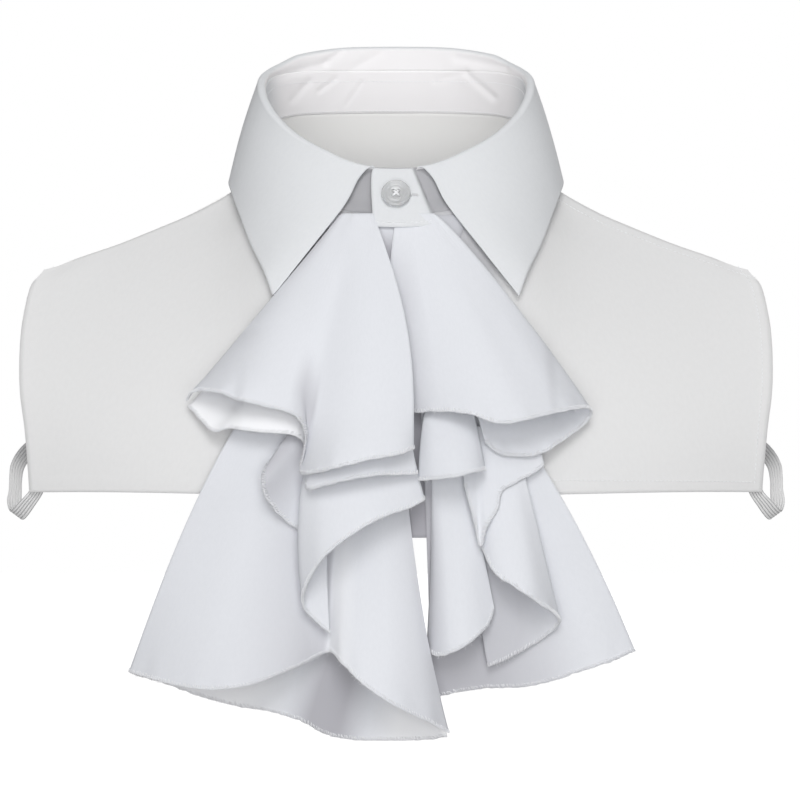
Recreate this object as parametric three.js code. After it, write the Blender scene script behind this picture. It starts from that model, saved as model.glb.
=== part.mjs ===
// A detachable shirt-collar front with a ruffled jabot, in the form that it has when it is worn.
// Millimetres, +Z up, -Y to the front. The origin is the middle of the neck seam.
// Left and right in the names are as seen from the front, with right at +X.
import * as THREE from 'three';

const { lerp, degToRad, smoothstep } = THREE.MathUtils;

// Driving dimensions

const GAP = 0.3;
const CLOTH = { panel: 1.2, stand: 1.6, leaf: 1.2, ruffle: 1.0, backing: 1.2, elastic: 1.3 };

// The rows of the ruffles give places as they show from this far in front, looked at slightly downward.
const VIEW = { distance: 2000, tilt: degToRad(3) };

const NECK = { halfWidth: 68, halfDepth: 58 };

const BODY = {
  hem: -165,
  cornerDrop: 4.8,
  cornerPower: 4,
  halfHem: 189,
  shoulderTip: 186,
  neckShare: 0.42,
  sidePower: 6,
  roundRadius: 260,
  roundPower: 2.2,
  topMargin: 0.008,
};
const FRONT = { side: -1, depth: 98 };
const BACK = { side: 1, depth: 92 };
const PANEL_LAP = { share: 0.055, fade: 0.2, lift: 0.8, crowding: 1.15 };

const STAND = {
  frontHeight: 24.5,
  backHeight: 21.5,
  frontLean: 10,
  sideLean: -1,
  backLean: 3,
  lapTurn: 12,
  fadeTurn: 40,
  lapLift: 1.0,
};

const LEAF = {
  startTurn: 11,
  clearance: 0.45,
  rollRadius: 1.9,
  belly: 1,
};

const BUTTON = {
  radius: 7.5,
  thickness: 2.6,
  rim: 1.6,
  dish: 0.8,
  dishSlope: 0.8,
  footBevel: 0.6,
  edgeHeight: 0.8,
  topBevel: 0.4,
  height: 11.5,
  standOff: 0.6,
  sides: 20,
};

const BACKING = { halfWidth: 20, top: -28, bottom: -186, offset: 2.5 };

const ELASTIC = { width: 7.8 };

// Rows and columns of the faces of each cloth.
const FACES = { front: [9, 14], back: [7, 22], stand: [2, 44], leafColumns: 34, backing: [12, 4] };

const SEARCH_STEPS = 24;
const PLACE_ROUNDS = 4;

const COLOUR = {
  panel: 0xe2e2e2,
  leaf: 0xdde1e4,
  stand: 0xe6e7ea,
  ruffle: 0xe4e8f0,
  elastic: 0xd2d2d4,
  button: 0xdfe3e6,
};

// Height of the neck seam, from the middle of the front (0) round to the middle of the back (180).
const NECK_LINE = table(
  ['turn', 'height'],
  [
    [0, -25.5], [15, -24.7], [28, -22.6], [40, -18], [52, -12], [62, -5.2], [75, 4.2],
    [90, 13.8], [100, 18.3], [112, 21], [130, 22.8], [154, 23.2], [180, 23.3],
  ],
);

// Shoulder seam, from the neck seam's side to the tip of the shoulder.
const SHOULDER = table(
  ['across', 'height'],
  [[68, 13.8], [74, -8], [90, -19], [108, -28.6], [127, -36.7], [146, -44.4], [165, -51], [186, -58.2]],
);

// Swell of the side edge, at shares of the way from the shoulder to the hem.
const SIDE = table(
  ['drop', 'bow'],
  [[0, 0], [0.06, 5.7], [0.12, 7.8], [0.25, 9.6], [0.4, 9.5], [0.55, 8], [0.7, 5], [0.85, 2.9], [1, 1.3]],
);

// General helpers

// Turns rows of numbers into records with named columns.
function table(names, rows) {
  return rows.map((row) => Object.fromEntries(names.map((name, index) => [name, row[index]])));
}

// Smooth curve through the values of one column, with one step of place for each row.
function along(rows, name, place) {
  const last = rows.length - 1;
  const index = Math.min(Math.floor(place), last - 1);
  const t = place - index;
  const value = (i) => rows[Math.max(0, Math.min(last, i))][name];
  const [a, b, c, d] = [value(index - 1), value(index), value(index + 1), value(index + 2)];
  return b + 0.5 * t * (c - a + t * (2 * a - 5 * b + 4 * c - d + t * (3 * (b - c) + d - a)));
}

// Value of a column where the key column has a given value, between rows sorted by that key.
function readAt(rows, key, value, name) {
  const next = rows.findIndex((row) => row[key] >= value);
  if (next <= 0) {
    return rows[next < 0 ? rows.length - 1 : 0][name];
  }
  const share = (value - rows[next - 1][key]) / (rows[next][key] - rows[next - 1][key]);
  return along(rows, name, next - 1 + share);
}

function gridNormal(grid, i, j) {
  const rows = grid.length - 1;
  const columns = grid[0].length - 1;
  const down = grid[Math.min(i + 1, rows)][j].clone().sub(grid[Math.max(i - 1, 0)][j]);
  const across = grid[i][Math.min(j + 1, columns)].clone().sub(grid[i][Math.max(j - 1, 0)]);
  return down.cross(across).normalize();
}

// Volume inside a closed surface, negative where its triangles face inward.
function signedVolume(positions, indices) {
  const corner = (i) => new THREE.Vector3().fromArray(positions, 3 * indices[i]);
  let volume = 0;
  for (let i = 0; i < indices.length; i += 3) {
    volume += corner(i).dot(corner(i + 1).cross(corner(i + 2))) / 6;
  }
  return volume;
}

// Closed wall of even thickness around a grid of points in its middle.
function sheet(grid, thickness) {
  const rows = grid.length;
  const columns = grid[0].length;
  const positions = [];
  for (const side of [0.5, -0.5]) {
    for (let i = 0; i < rows; i += 1) {
      for (let j = 0; j < columns; j += 1) {
        const point = grid[i][j].clone().addScaledVector(gridNormal(grid, i, j), side * thickness);
        positions.push(point.x, point.y, point.z);
      }
    }
  }
  const indices = [];
  const upper = (i, j) => i * columns + j;
  const lower = (i, j) => rows * columns + i * columns + j;
  const quad = (a, b, c, d) => indices.push(a, b, c, a, c, d);
  for (let i = 0; i < rows - 1; i += 1) {
    for (let j = 0; j < columns - 1; j += 1) {
      quad(upper(i, j), upper(i + 1, j), upper(i + 1, j + 1), upper(i, j + 1));
      quad(lower(i, j), lower(i, j + 1), lower(i + 1, j + 1), lower(i + 1, j));
    }
    quad(upper(i, 0), lower(i, 0), lower(i + 1, 0), upper(i + 1, 0));
    quad(upper(i + 1, columns - 1), lower(i + 1, columns - 1), lower(i, columns - 1), upper(i, columns - 1));
  }
  for (let j = 0; j < columns - 1; j += 1) {
    quad(upper(0, j + 1), lower(0, j + 1), lower(0, j), upper(0, j));
    quad(upper(rows - 1, j), lower(rows - 1, j), lower(rows - 1, j + 1), upper(rows - 1, j + 1));
  }
  const geometry = new THREE.BufferGeometry();
  geometry.setAttribute('position', new THREE.Float32BufferAttribute(positions, 3));
  geometry.setIndex(signedVolume(positions, indices) < 0 ? indices.toReversed() : indices);
  return geometry;
}

// Grid of points from a function of two shares, each from 0 to 1.
function gridOf(rows, columns, point) {
  return Array.from({ length: rows + 1 }, (_, i) => (
    Array.from({ length: columns + 1 }, (_, j) => point(i / rows, j / columns))
  ));
}

const object = new THREE.Group();

function addPiece(name, geometry, colour, roughness = 0.9) {
  geometry.computeVertexNormals();
  const material = new THREE.MeshStandardMaterial({ color: colour, roughness, metalness: 0 });
  const mesh = new THREE.Mesh(geometry, material);
  mesh.name = name;
  object.add(mesh);
  return mesh;
}

// Neck and body form

// Turn measured from the front either way, so that both sides read the same rows.
function fromFront(turn) {
  return turn > 180 ? Math.abs(360 - turn) : Math.abs(turn);
}

function neckSeam(turn) {
  const angle = degToRad(turn);
  return new THREE.Vector3(
    NECK.halfWidth * Math.sin(angle),
    -NECK.halfDepth * Math.cos(angle),
    readAt(NECK_LINE, 'turn', fromFront(turn), 'height'),
  );
}

function hemHeight(share) {
  return BODY.hem - BODY.cornerDrop * share ** BODY.cornerPower;
}

// Upper edge of a panel: half of the neck seam, then the shoulder seam.
function panelTop(share, face) {
  if (share < BODY.neckShare) {
    const turn = 90 * share / BODY.neckShare;
    return neckSeam(face.side < 0 ? turn : 180 - turn);
  }
  const run = (share - BODY.neckShare) / (1 - BODY.neckShare);
  const across = lerp(NECK.halfWidth, BODY.shoulderTip, run);
  return new THREE.Vector3(across, 0, readAt(SHOULDER, 'across', across, 'height'));
}

// Middle of the cloth of a panel, at a share of its half width and a share of the way to its hem.
function panelPoint(signedShare, drop, face) {
  const share = Math.abs(signedShare);
  const top = panelTop(share, face);
  const hemAcross = share * BODY.halfHem;
  const hemDepth = face.depth * (1 - (hemAcross / BODY.roundRadius) ** BODY.roundPower);
  const bow = readAt(SIDE, 'drop', drop, 'bow') * share ** BODY.sidePower;
  const across = lerp(top.x, hemAcross, drop) + bow;
  return new THREE.Vector3(
    Math.sign(signedShare) * across,
    lerp(top.y, face.side * hemDepth, Math.sin(Math.PI / 2 * drop)),
    lerp(top.z, hemHeight(share), drop),
  );
}

// Depth of the front panel at a place on the chest, carried straight down below its hem.
function chestAt(x, z) {
  let low = 0;
  let high = 1;
  const dropAt = (top, share) => {
    const drop = (top.z - z) / (top.z - hemHeight(share));
    return THREE.MathUtils.clamp(drop, 0, 1);
  };
  for (let step = 0; step < SEARCH_STEPS; step += 1) {
    const share = (low + high) / 2;
    const top = panelTop(share, FRONT);
    if (lerp(top.x, share * BODY.halfHem, dropAt(top, share)) < Math.abs(x)) {
      low = share;
    } else {
      high = share;
    }
  }
  return panelPoint(low, dropAt(panelTop(low, FRONT), low), FRONT).y;
}

// Panels, the right one of the front lapping over the left

function addFrontPanel(name, hand) {
  const shareAt = (u) => lerp(-PANEL_LAP.share, 1, u ** PANEL_LAP.crowding);
  const grid = gridOf(...FACES.front, (v, u) => (
    panelPoint(hand * shareAt(u), lerp(BODY.topMargin, 1, v), FRONT)
  ));
  const lifted = grid.map((row, i) => row.map((point, j) => {
    const lap = 1 - smoothstep(shareAt(j / (row.length - 1)), PANEL_LAP.share, PANEL_LAP.fade);
    return point.clone().addScaledVector(gridNormal(grid, i, j), PANEL_LAP.lift * lap);
  }));
  addPiece(name, sheet(lifted, CLOTH.panel), COLOUR.panel);
}

addFrontPanel('front_panel_right', 1);
addFrontPanel('front_panel_left', -1);

const backGrid = gridOf(...FACES.back, (v, u) => (
  panelPoint(lerp(-1, 1, u), lerp(BODY.topMargin, 1, v), BACK)
));
addPiece('back_panel', sheet(backGrid, CLOTH.panel), COLOUR.panel);

// Collar stand, a band around the neck seam whose ends lap at the front

function backShare(turn) {
  return (1 - Math.cos(degToRad(turn))) / 2;
}

function standHeight(turn) {
  return lerp(STAND.frontHeight, STAND.backHeight, backShare(turn));
}

function standLean(turn) {
  const cosine = Math.cos(degToRad(turn));
  return lerp(STAND.sideLean, cosine > 0 ? STAND.frontLean : STAND.backLean, cosine ** 2);
}

function outwardAt(turn) {
  return new THREE.Vector3(Math.sin(degToRad(turn)), -Math.cos(degToRad(turn)), 0);
}

// Middle of the stand at a share of its height, moved outward by lift.
function standPoint(turn, share, lift = 0) {
  const point = neckSeam(turn);
  point.z += lerp(GAP, standHeight(turn), share);
  return point.addScaledVector(outwardAt(turn), lift - standLean(turn) * share);
}

function standLift(turn) {
  const outer = 1 - smoothstep(turn, STAND.lapTurn, STAND.fadeTurn);
  const inner = smoothstep(turn, 360 - STAND.fadeTurn, 360 - STAND.lapTurn);
  return STAND.lapLift * (outer - inner);
}

const standGrid = gridOf(...FACES.stand, (v, u) => {
  const turn = lerp(-STAND.lapTurn, 360 + STAND.lapTurn, u);
  return standPoint(turn, 1 - v, standLift(turn));
});
addPiece('collar_stand', sheet(standGrid, CLOTH.stand), COLOUR.stand);

// Collar leaf, which rises from the stand, rolls over and falls to its two points

const LEAF_EDGE = table(
  ['turn', 'across', 'depth', 'height'],
  [
    [11, 63, -70, -65.5],
    [20, 67.5, -62, -54],
    [35, 75, -45, -41],
    [55, 81, -28, -28],
    [75, 86, -12, -17],
    [90, 88, 2, -11],
    [110, 84, 24, -6],
    [130, 67, 46, 2],
    [155, 36, 62, 11],
    [180, 0, 68, 14],
  ],
);

// Height of the leaf's fold above the stand.
const LEAF_RISE = table(
  ['turn', 'rise'],
  [
    [0, 1.5], [30, 1.6], [50, 1.4], [70, 1.3], [90, 1.3],
    [105, 1.3], [118, 3], [131, 6.7], [154, 9.9], [180, 10.5],
  ],
);

// Shares of the way over the leaf: top of its rise, end of its roll, and the rows between.
const LEAF_ROWS = [0, 0.12, 0.2, 0.27, 0.34, 0.5, 0.67, 0.84, 1];
const [LEAF_RISE_END, LEAF_ROLL_END] = [LEAF_ROWS[1], LEAF_ROWS[4]];

function leafPoint(turn, v) {
  const mirrored = fromFront(turn);
  const hand = turn > 180 ? -1 : 1;
  const rise = readAt(LEAF_RISE, 'turn', mirrored, 'rise');
  const outward = outwardAt(mirrored);
  const foot = standPoint(mirrored, 1);
  foot.z += LEAF.clearance;
  if (v <= LEAF_RISE_END) {
    foot.z += rise * v / LEAF_RISE_END;
  } else if (v <= LEAF_ROLL_END) {
    const angle = Math.PI * (v - LEAF_RISE_END) / (LEAF_ROLL_END - LEAF_RISE_END);
    foot.z += rise + LEAF.rollRadius * Math.sin(angle);
    foot.addScaledVector(outward, LEAF.rollRadius * (1 - Math.cos(angle)));
  } else {
    const fall = (v - LEAF_ROLL_END) / (1 - LEAF_ROLL_END);
    foot.z += rise;
    foot.addScaledVector(outward, 2 * LEAF.rollRadius);
    const edge = new THREE.Vector3(
      readAt(LEAF_EDGE, 'turn', mirrored, 'across'),
      readAt(LEAF_EDGE, 'turn', mirrored, 'depth'),
      readAt(LEAF_EDGE, 'turn', mirrored, 'height'),
    );
    foot.lerp(edge, fall).addScaledVector(outward, LEAF.belly * Math.sin(Math.PI * fall));
  }
  foot.x *= hand;
  return foot;
}

const leafGrid = gridOf(LEAF_ROWS.length - 1, FACES.leafColumns, (v, u) => (
  leafPoint(lerp(LEAF.startTurn, 360 - LEAF.startTurn, u), LEAF_ROWS[Math.round(v * (LEAF_ROWS.length - 1))])
));
addPiece('collar_leaf', sheet(leafGrid, CLOTH.leaf), COLOUR.leaf);

// Button on the lapped end of the stand

const buttonProfile = [
  [0, 0],
  [BUTTON.radius - BUTTON.footBevel, 0],
  [BUTTON.radius, BUTTON.edgeHeight],
  [BUTTON.radius - BUTTON.topBevel, BUTTON.thickness],
  [BUTTON.radius - BUTTON.rim, BUTTON.thickness],
  [BUTTON.radius - BUTTON.rim - BUTTON.dishSlope, BUTTON.thickness - BUTTON.dish],
  [0, BUTTON.thickness - BUTTON.dish],
].map(([radius, height]) => new THREE.Vector2(radius, height));
const buttonPlace = standPoint(0, BUTTON.height / STAND.frontHeight, STAND.lapLift);
const tabSlope = Math.atan2(STAND.frontLean, STAND.frontHeight);
const buttonGeometry = new THREE.LatheGeometry(buttonProfile, BUTTON.sides);
const standOff = CLOTH.stand / 2 + BUTTON.standOff;
buttonGeometry.rotateX(Math.PI - tabSlope);
buttonGeometry.translate(
  buttonPlace.x,
  buttonPlace.y - standOff * Math.cos(tabSlope),
  buttonPlace.z + standOff * Math.sin(tabSlope),
);
addPiece('collar_button', buttonGeometry, COLOUR.button, 0.25);

// Elastic loops from the lower corners of the front to the sides of the back

const ELASTIC_PATH = table(
  ['across', 'depth', 'height', 'widthAcross', 'widthDepth', 'widthHeight'],
  [
    [185.5, -49.4, -162, 1, 0.5, 0],
    [187, -48, -169.5, 1, 0.4, 0.05],
    [192, -43.5, -176.5, 1, 0.2, 0.3],
    [198.5, -34, -184.2, 0.8, 0, 0.6],
    [201.5, -21, -181.5, 0.9, 0.1, 0.4],
    [202.4, -5, -175.5, 1, 0.5, 0],
    [203.4, 8, -170.5, 1, 0.5, 0],
    [203.4, 20, -165.5, 1, 0.3, 0.2],
    [200.5, 31, -160.5, 0.8, 0, 0.5],
    [195.5, 38.8, -156, 0.6, -0.2, 0.7],
    [189.5, 43.6, -152, 0.5, -0.25, 0.8],
  ],
);

function addElastic(name, hand) {
  const steps = (ELASTIC_PATH.length - 1) * 2;
  const grid = gridOf(steps, 1, (v, u) => {
    const place = v * (ELASTIC_PATH.length - 1);
    const read = (column) => along(ELASTIC_PATH, column, place);
    const width = new THREE.Vector3(read('widthAcross'), read('widthDepth'), read('widthHeight'));
    const point = new THREE.Vector3(read('across'), read('depth'), read('height'));
    point.addScaledVector(width.normalize(), ELASTIC.width * (u - 0.5));
    point.x *= hand;
    return point;
  });
  addPiece(name, sheet(grid, CLOTH.elastic), COLOUR.elastic);
}

addElastic('elastic_right', 1);
addElastic('elastic_left', -1);

// Backing strip of the jabot, down the middle of the front

const backingGrid = gridOf(...FACES.backing, (v, u) => {
  const x = lerp(-BACKING.halfWidth, BACKING.halfWidth, u);
  const z = lerp(BACKING.top, BACKING.bottom, v);
  return new THREE.Vector3(x, chestAt(x, z) - BACKING.offset, z);
});
addPiece('jabot_backing', sheet(backingGrid, CLOTH.backing), COLOUR.ruffle);

// Ruffles

// True place of what shows at across and up, at a distance out from the chest.
function placeOut(across, up, out) {
  const point = new THREE.Vector3(across, -FRONT.depth, up);
  for (let round = 0; round < PLACE_ROUNDS; round += 1) {
    point.y = chestAt(point.x, point.z) - out;
    const nearness = (1 + point.y / (VIEW.distance * Math.cos(VIEW.tilt)))
      / (1 + up * Math.tan(VIEW.tilt) / VIEW.distance);
    point.x = across * nearness;
    point.z = (up * nearness - point.y * Math.sin(VIEW.tilt)) / Math.cos(VIEW.tilt);
  }
  return point;
}

// gather: place of the fold in the gathered top edge; across, up and out: place of the fold at the hem;
// spread: how soon the fold moves from the gathers to its place; bow: sideways swell of the fold;
// layer: how far the fold lies out from the others in the gathers, where the cloth returns behind itself.
// Of a ruffle, top and root: height of the gathers and their distance out from the chest;
// flare: how late the cloth stands out from the chest; steps: rows and columns of its faces.
const FOLD = ['gather', 'across', 'up', 'out', 'spread', 'bow', 'layer'];

const RUFFLES = {
  lower_left_rear_ruffle: {
    top: -197, root: 4.2, flare: 1.4, steps: [5, 18],
    folds: table(FOLD, [
      [-15, -140, -273, 5.5, 0.45, 0, 0],
      [-13, -123, -278, 3, 0.45, 0, 0],
      [-11, -104, -285, 0, 0.5, 0, 0],
      [-9, -85, -290, 0, 0.5, 0, 0],
      [-7, -67, -293, 1, 0.6, 0, 0],
      [-5, -51, -298, -1, 0.7, 0, 0],
      [-3, -38, -305, -2, 0.8, 0, 0],
      [-1, -24, -308, 0, 0.9, 0, 0],
      [2, -8, -308.5, 3, 1, 0, 0],
      [4, 6, -308.5, 5, 1.3, 0, 0],
      [6, 18, -308, 6, 1.7, 0, 0],
      [8, 27, -306.5, 6, 2, 0, 0],
    ]),
  },
  lower_left_ruffle: {
    top: -90, root: 4.2, flare: 3.5, steps: [7, 32],
    folds: table(FOLD, [
      [-30, -142, -272, 10, 0.56, 0, 0],
      [-28, -125, -277, 21, 0.6, 0, 0],
      [-26, -109, -280.5, 29, 0.6, 0, 0],
      [-24, -91, -281, 33, 0.6, 0, 0],
      [-22, -75, -278, 30, 0.6, 0, 0],
      [-20, -59, -272, 22, 0.6, 0, 0],
      [-18, -46, -266, 13, 0.6, 0, 0],
      [-17, -37, -261.5, 9, 0.6, 0, 0],
      [-16, -33, -262, 14, 0.6, 0, 0],
      [-14, -28, -268, 22, 0.7, 0, 0],
      [-12, -17, -279, 30, 0.8, 0, 0],
      [-9, -4, -288, 33, 1, 0, 0],
      [-5, 9, -295, 30, 1.2, 0, 0],
      [-1, 20, -300, 25, 1.6, 0, 0],
      [2, 28, -304.5, 19, 2.1, 0, 0],
    ]),
  },
  left_pocket_ruffle: {
    top: -110, root: 5.5, flare: 2.5, steps: [5, 12],
    folds: table(FOLD, [
      [-11, -44, -200, 8.3, 1, -0.5, 0.2],
      [-12, -51, -196.5, 8.4, 1, 0.3, 0.7],
      [-14.2, -59, -190.5, 10.5, 1, 0.4, 0.7],
      [-15.6, -67.5, -181, 15.3, 0.9, 1.8, 1.8],
      [-17.2, -71, -172, 18.7, 0.9, 0.9, 2],
      [-17.8, -69.5, -163.5, 14, 0.9, -4.3, 1.4],
      [-17, -62, -158, 6.3, 0.9, -5.7, 0.1],
    ]),
  },
  third_left_ruffle: {
    top: -95, root: 8.9, flare: 1.3, steps: [6, 20],
    folds: table(FOLD, [
      [-5.1, 15, -180, 15.2, 1, -0.1, 0.6],
      [-6.4, 7.5, -184, 19.9, 1, 0.2, 0],
      [-8, -8.5, -190, 27, 1, -2, 0],
      [-11, -24, -199, 30.9, 1, -5, 0.6],
      [-14, -39, -211.5, 30.8, 1, -9, 1.3],
      [-16, -47, -224, 25.8, 1, -12.9, 1.7],
      [-18, -50, -234, 21, 1, -14, 1],
      [-17, -47, -240.5, 17, 1, -13, -0.3],
      [-16, -41, -246.5, 14.5, 1, -11, -0.2],
      [-15, -35.5, -251, 13, 1, -9, -0.2],
    ]),
  },
  second_left_ruffle: {
    top: -50, root: 3.9, flare: 1.2, steps: [5, 30],
    folds: table(FOLD, [
      [-9, 11, -166, 20.1, 1, 0, 0.7],
      [-10, 2, -166.5, 26, 1, 2, 0.4],
      [-12, -11, -167, 32.1, 1, 0, 0.3],
      [-14, -24, -169, 33.9, 1, -2, 0.5],
      [-16, -38, -172.5, 31.4, 1, -4.1, 1.4],
      [-18, -47.5, -174, 25.2, 1, -4.1, 2.2],
      [-19, -46, -165, 19.4, 1, -2.2, 1.5],
      [-20.2, -48, -152, 16, 1, -3, 0.8],
      [-21.1, -53, -146, 16.7, 1, -0.3, 0.4],
      [-23, -63, -144.5, 17.6, 1, 0.1, 0.1],
      [-25, -76, -143.5, 17.3, 1, 0.2, 0.1],
      [-27, -88, -142, 15.2, 1, -0.2, 0.1],
      [-28, -97, -143.5, 11.1, 1, -0.1, 0],
      [-29, -104, -137, 8, 1, 0, 0],
      [-30, -110, -130, 6.5, 1, 0, 0],
    ]),
  },
  upper_left_ruffle: {
    top: -31, root: 3.9, flare: 1.2, steps: [6, 32],
    folds: table(FOLD, [
      [-12.1, 9, -152.7, 27.4, 1, 7.6, 1.9],
      [-13, 2, -155.6, 34.3, 1, 6.6, 1.1],
      [-14.8, -14, -158.6, 40.3, 1, 3, 0.5],
      [-17, -32.3, -163, 39.7, 1, -0.6, 1.2],
      [-18.8, -45.6, -166, 29.2, 1, -1.7, 1.3],
      [-20, -50.7, -165, 21.4, 1, -1.7, 1.9],
      [-20.9, -49.1, -154.8, 24.7, 1, -4.2, 1.3],
      [-22.1, -48.6, -142, 26.3, 1, -3.2, 2],
      [-23.2, -56.1, -133.8, 27.1, 1, -1.9, 1],
      [-24.7, -69.9, -130.2, 27.4, 1, 0, 0.2],
      [-25.6, -83, -126.9, 29.4, 1, 0.2, 0.1],
      [-26, -94.1, -123.1, 27.2, 1, 0, 0],
      [-26.9, -102.8, -122.1, 20.7, 1, -0.7, 0.1],
      [-27.7, -109.5, -123.8, 15.1, 1, 0.9, 0.4],
      [-28.7, -111, -126.9, 11.1, 1, 0.4, 0.3],
    ]),
  },
  lower_right_rear_ruffle: {
    top: -110, root: 4.2, flare: 4, steps: [6, 16],
    folds: table(FOLD, [
      [11, 19, -286, 1, 0.6, 0, 0],
      [13, 34, -282.5, 2, 0.6, 0, 0],
      [13.5, 50, -280.5, 3, 0.6, 0, 0],
      [14, 66, -280, 5, 0.6, 0, 0],
      [15, 82, -277, 9, 0.6, 0, 0],
      [16, 97, -272, 12, 0.6, 0, 0],
      [17, 115, -266, 12, 0.6, 0, 0],
      [18, 127, -260.5, 9, 0.57, 0, 0],
    ]),
  },
  lower_right_ruffle: {
    top: -146, root: 6.2, flare: 1.5, steps: [6, 20],
    folds: table(FOLD, [
      [45.7, 45.5, -204.5, 10.2, 1, -0.4, 0.1],
      [50.2, 52, -218.5, 20.6, 1, 0.4, 0.7],
      [53.9, 63, -226.5, 26.5, 1, -0.5, 0],
      [57.6, 75, -234.5, 27.6, 1, -0.1, 0.5],
      [60.6, 84, -240.5, 20, 1, 0.1, 0.6],
      [63.1, 87, -245, 14, 1, 0, 0.8],
      [63.2, 81, -252, 9.6, 1, -0.1, -0.4],
      [61.9, 66.5, -261, 8.5, 1, 0, -0.7],
      [60.3, 56, -266.5, 8.3, 1, -6, -0.7],
      [58.4, 49, -269, 8.8, 1, -10, -0.8],
    ]),
  },
  inner_right_ruffle: {
    top: -152, root: 6.2, flare: 1.5, steps: [5, 13],
    folds: table(FOLD, [
      [19, 16.5, -259, 5.5, 1, 1, 0],
      [20, 21, -263, 12, 1, 0, 0],
      [22, 28, -262, 18, 1, 0, 0],
      [26, 36, -258.5, 20.5, 1, 0, 0],
      [30, 43, -253, 18, 1, 0, 0],
      [33, 49.5, -246, 13.5, 1, 0, 0],
      [35, 52, -238, 11, 1, 0, 0],
    ]),
  },
  right_tip_ruffle: {
    top: -141, root: 7.8, flare: 1.3, steps: [4, 17],
    folds: table(FOLD, [
      [37, 36, -172, 12.5, 1, 0, 0],
      [39, 41, -190, 14.5, 1, 0, 0],
      [42, 45, -205, 15, 1, 0, 0],
      [45, 48, -195, 15.5, 1, 0, 0],
      [49, 54, -185, 14.5, 1, 0, 0],
      [54, 56, -176, 12.5, 1, 0, 0],
      [61, 63.5, -171, 11, 1, 0, 0],
      [68, 71.5, -166.5, 9.5, 1, 0, 0],
      [74, 78.5, -162, 8.8, 1, 0, 0],
    ]),
  },
  right_tongue_ruffle: {
    top: -113, root: 5.6, flare: 1.5, steps: [4, 13],
    folds: table(FOLD, [
      [20, 12, -169.5, 17, 1, -2, 0],
      [22, 20, -169, 24, 1, -2, 0],
      [26, 30, -168, 28, 1, 0, 0],
      [30, 38, -166, 27, 1, 0, 0],
      [34, 44, -164.5, 23, 1, 0, 0],
      [37, 47.5, -164, 17.5, 1, 0, 0],
    ]),
  },
  upper_right_ruffle: {
    top: -31, root: 3.9, flare: 1.8, steps: [7, 32],
    folds: table(FOLD, [
      [0.2, 6, -133, 11, 1, -6.5, 0.1],
      [3.6, 12, -133.5, 13.1, 1, -3.9, 0.2],
      [6, 20, -133, 16.4, 1, 0.1, 0.3],
      [9, 30, -133, 21.7, 1, 0, 0.4],
      [12, 41, -135, 28, 1, 0, 0.9],
      [14, 53, -139, 34, 1, 0, 1.5],
      [16, 67, -138, 37, 1, 0, 1.7],
      [17, 80, -134.5, 33, 1, 0.2, 1.9],
      [18, 92.5, -132, 28.1, 0.95, 0.3, 1.8],
      [19.2, 101, -131, 18.5, 0.87, 0.1, 2],
      [20.1, 104, -133.5, 11.2, 0.87, -0.3, 1],
      [19.3, 99, -140.5, 8.4, 0.9, 0, 0.2],
      [18.2, 87, -149.5, 10.2, 1, -0.1, 0.2],
      [17.2, 76, -155.5, 12, 1, -0.6, 0.2],
      [16.2, 64, -157, 12, 1, -0.3, 0.2],
      [15.2, 54, -155, 12, 1, 0, 0.2],
      [14.2, 47, -149, 12, 1, 0, 0.1],
    ]),
  },
};

function ruffleGrid({ top, root, flare, steps, folds }) {
  return gridOf(...steps, (v, u) => {
    const read = (column) => along(folds, column, u * (folds.length - 1));
    const across = lerp(read('gather'), read('across'), v ** read('spread'));
    const bow = read('bow') * Math.sin(Math.PI * v);
    const out = lerp(root + read('layer'), read('out'), v ** flare);
    return placeOut(across + bow, lerp(top, read('up'), v), out);
  });
}

for (const [name, ruffle] of Object.entries(RUFFLES)) {
  addPiece(name, sheet(ruffleGrid(ruffle), CLOTH.ruffle), COLOUR.ruffle);
}

export default object;
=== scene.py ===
import math

import bmesh
import bpy
import numpy as np
from mathutils import Matrix


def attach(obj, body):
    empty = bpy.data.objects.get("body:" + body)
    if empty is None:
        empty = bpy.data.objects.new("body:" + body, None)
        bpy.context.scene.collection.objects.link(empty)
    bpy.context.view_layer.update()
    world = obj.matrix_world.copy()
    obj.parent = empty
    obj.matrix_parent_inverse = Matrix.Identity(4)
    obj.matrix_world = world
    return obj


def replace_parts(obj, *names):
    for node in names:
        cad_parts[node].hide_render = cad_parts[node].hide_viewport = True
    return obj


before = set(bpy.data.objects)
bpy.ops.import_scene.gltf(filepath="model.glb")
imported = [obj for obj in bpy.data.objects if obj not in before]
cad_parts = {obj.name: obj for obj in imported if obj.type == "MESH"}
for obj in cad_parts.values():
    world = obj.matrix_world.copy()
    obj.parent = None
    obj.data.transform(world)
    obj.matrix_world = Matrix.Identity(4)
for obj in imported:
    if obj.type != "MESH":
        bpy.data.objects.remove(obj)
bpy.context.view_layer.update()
print("frame loaded")

# every length below is in millimetres, and meshes are made in metres
mm = 0.001


# columns by name; a row that is short ends in zeros
def table(names, rows):
    labels = names.split()
    columns = np.array([row + [0] * (len(labels) - len(row)) for row in rows], float).T
    return dict(zip(labels, columns))


# smooth curve through a column, one step of place for each row
def along(column, place):
    last = len(column) - 1
    place = np.clip(place, 0, last)
    index = np.minimum(np.floor(place), last - 1).astype(int)
    t = place - index
    a, b, c, d = (column[np.clip(index + step, 0, last)] for step in (-1, 0, 1, 2))
    return b + 0.5 * t * (c - a + t * (2 * a - 5 * b + 4 * c - d + t * (3 * (b - c) + d - a)))


def readAt(rows, key, value, name):
    place = np.interp(value, rows[key], np.arange(len(rows[key])))
    return along(rows[name], place)


def lerp(start, end, share):
    return start + (end - start) * share


def smoothStep(value, low, high):
    t = np.clip((value - low) / (high - low), 0, 1)
    return t * t * (3 - 2 * t)


def unit(vectors):
    length = np.linalg.norm(vectors, axis=-1, keepdims=True)
    return vectors / np.maximum(length, 1e-9)


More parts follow.
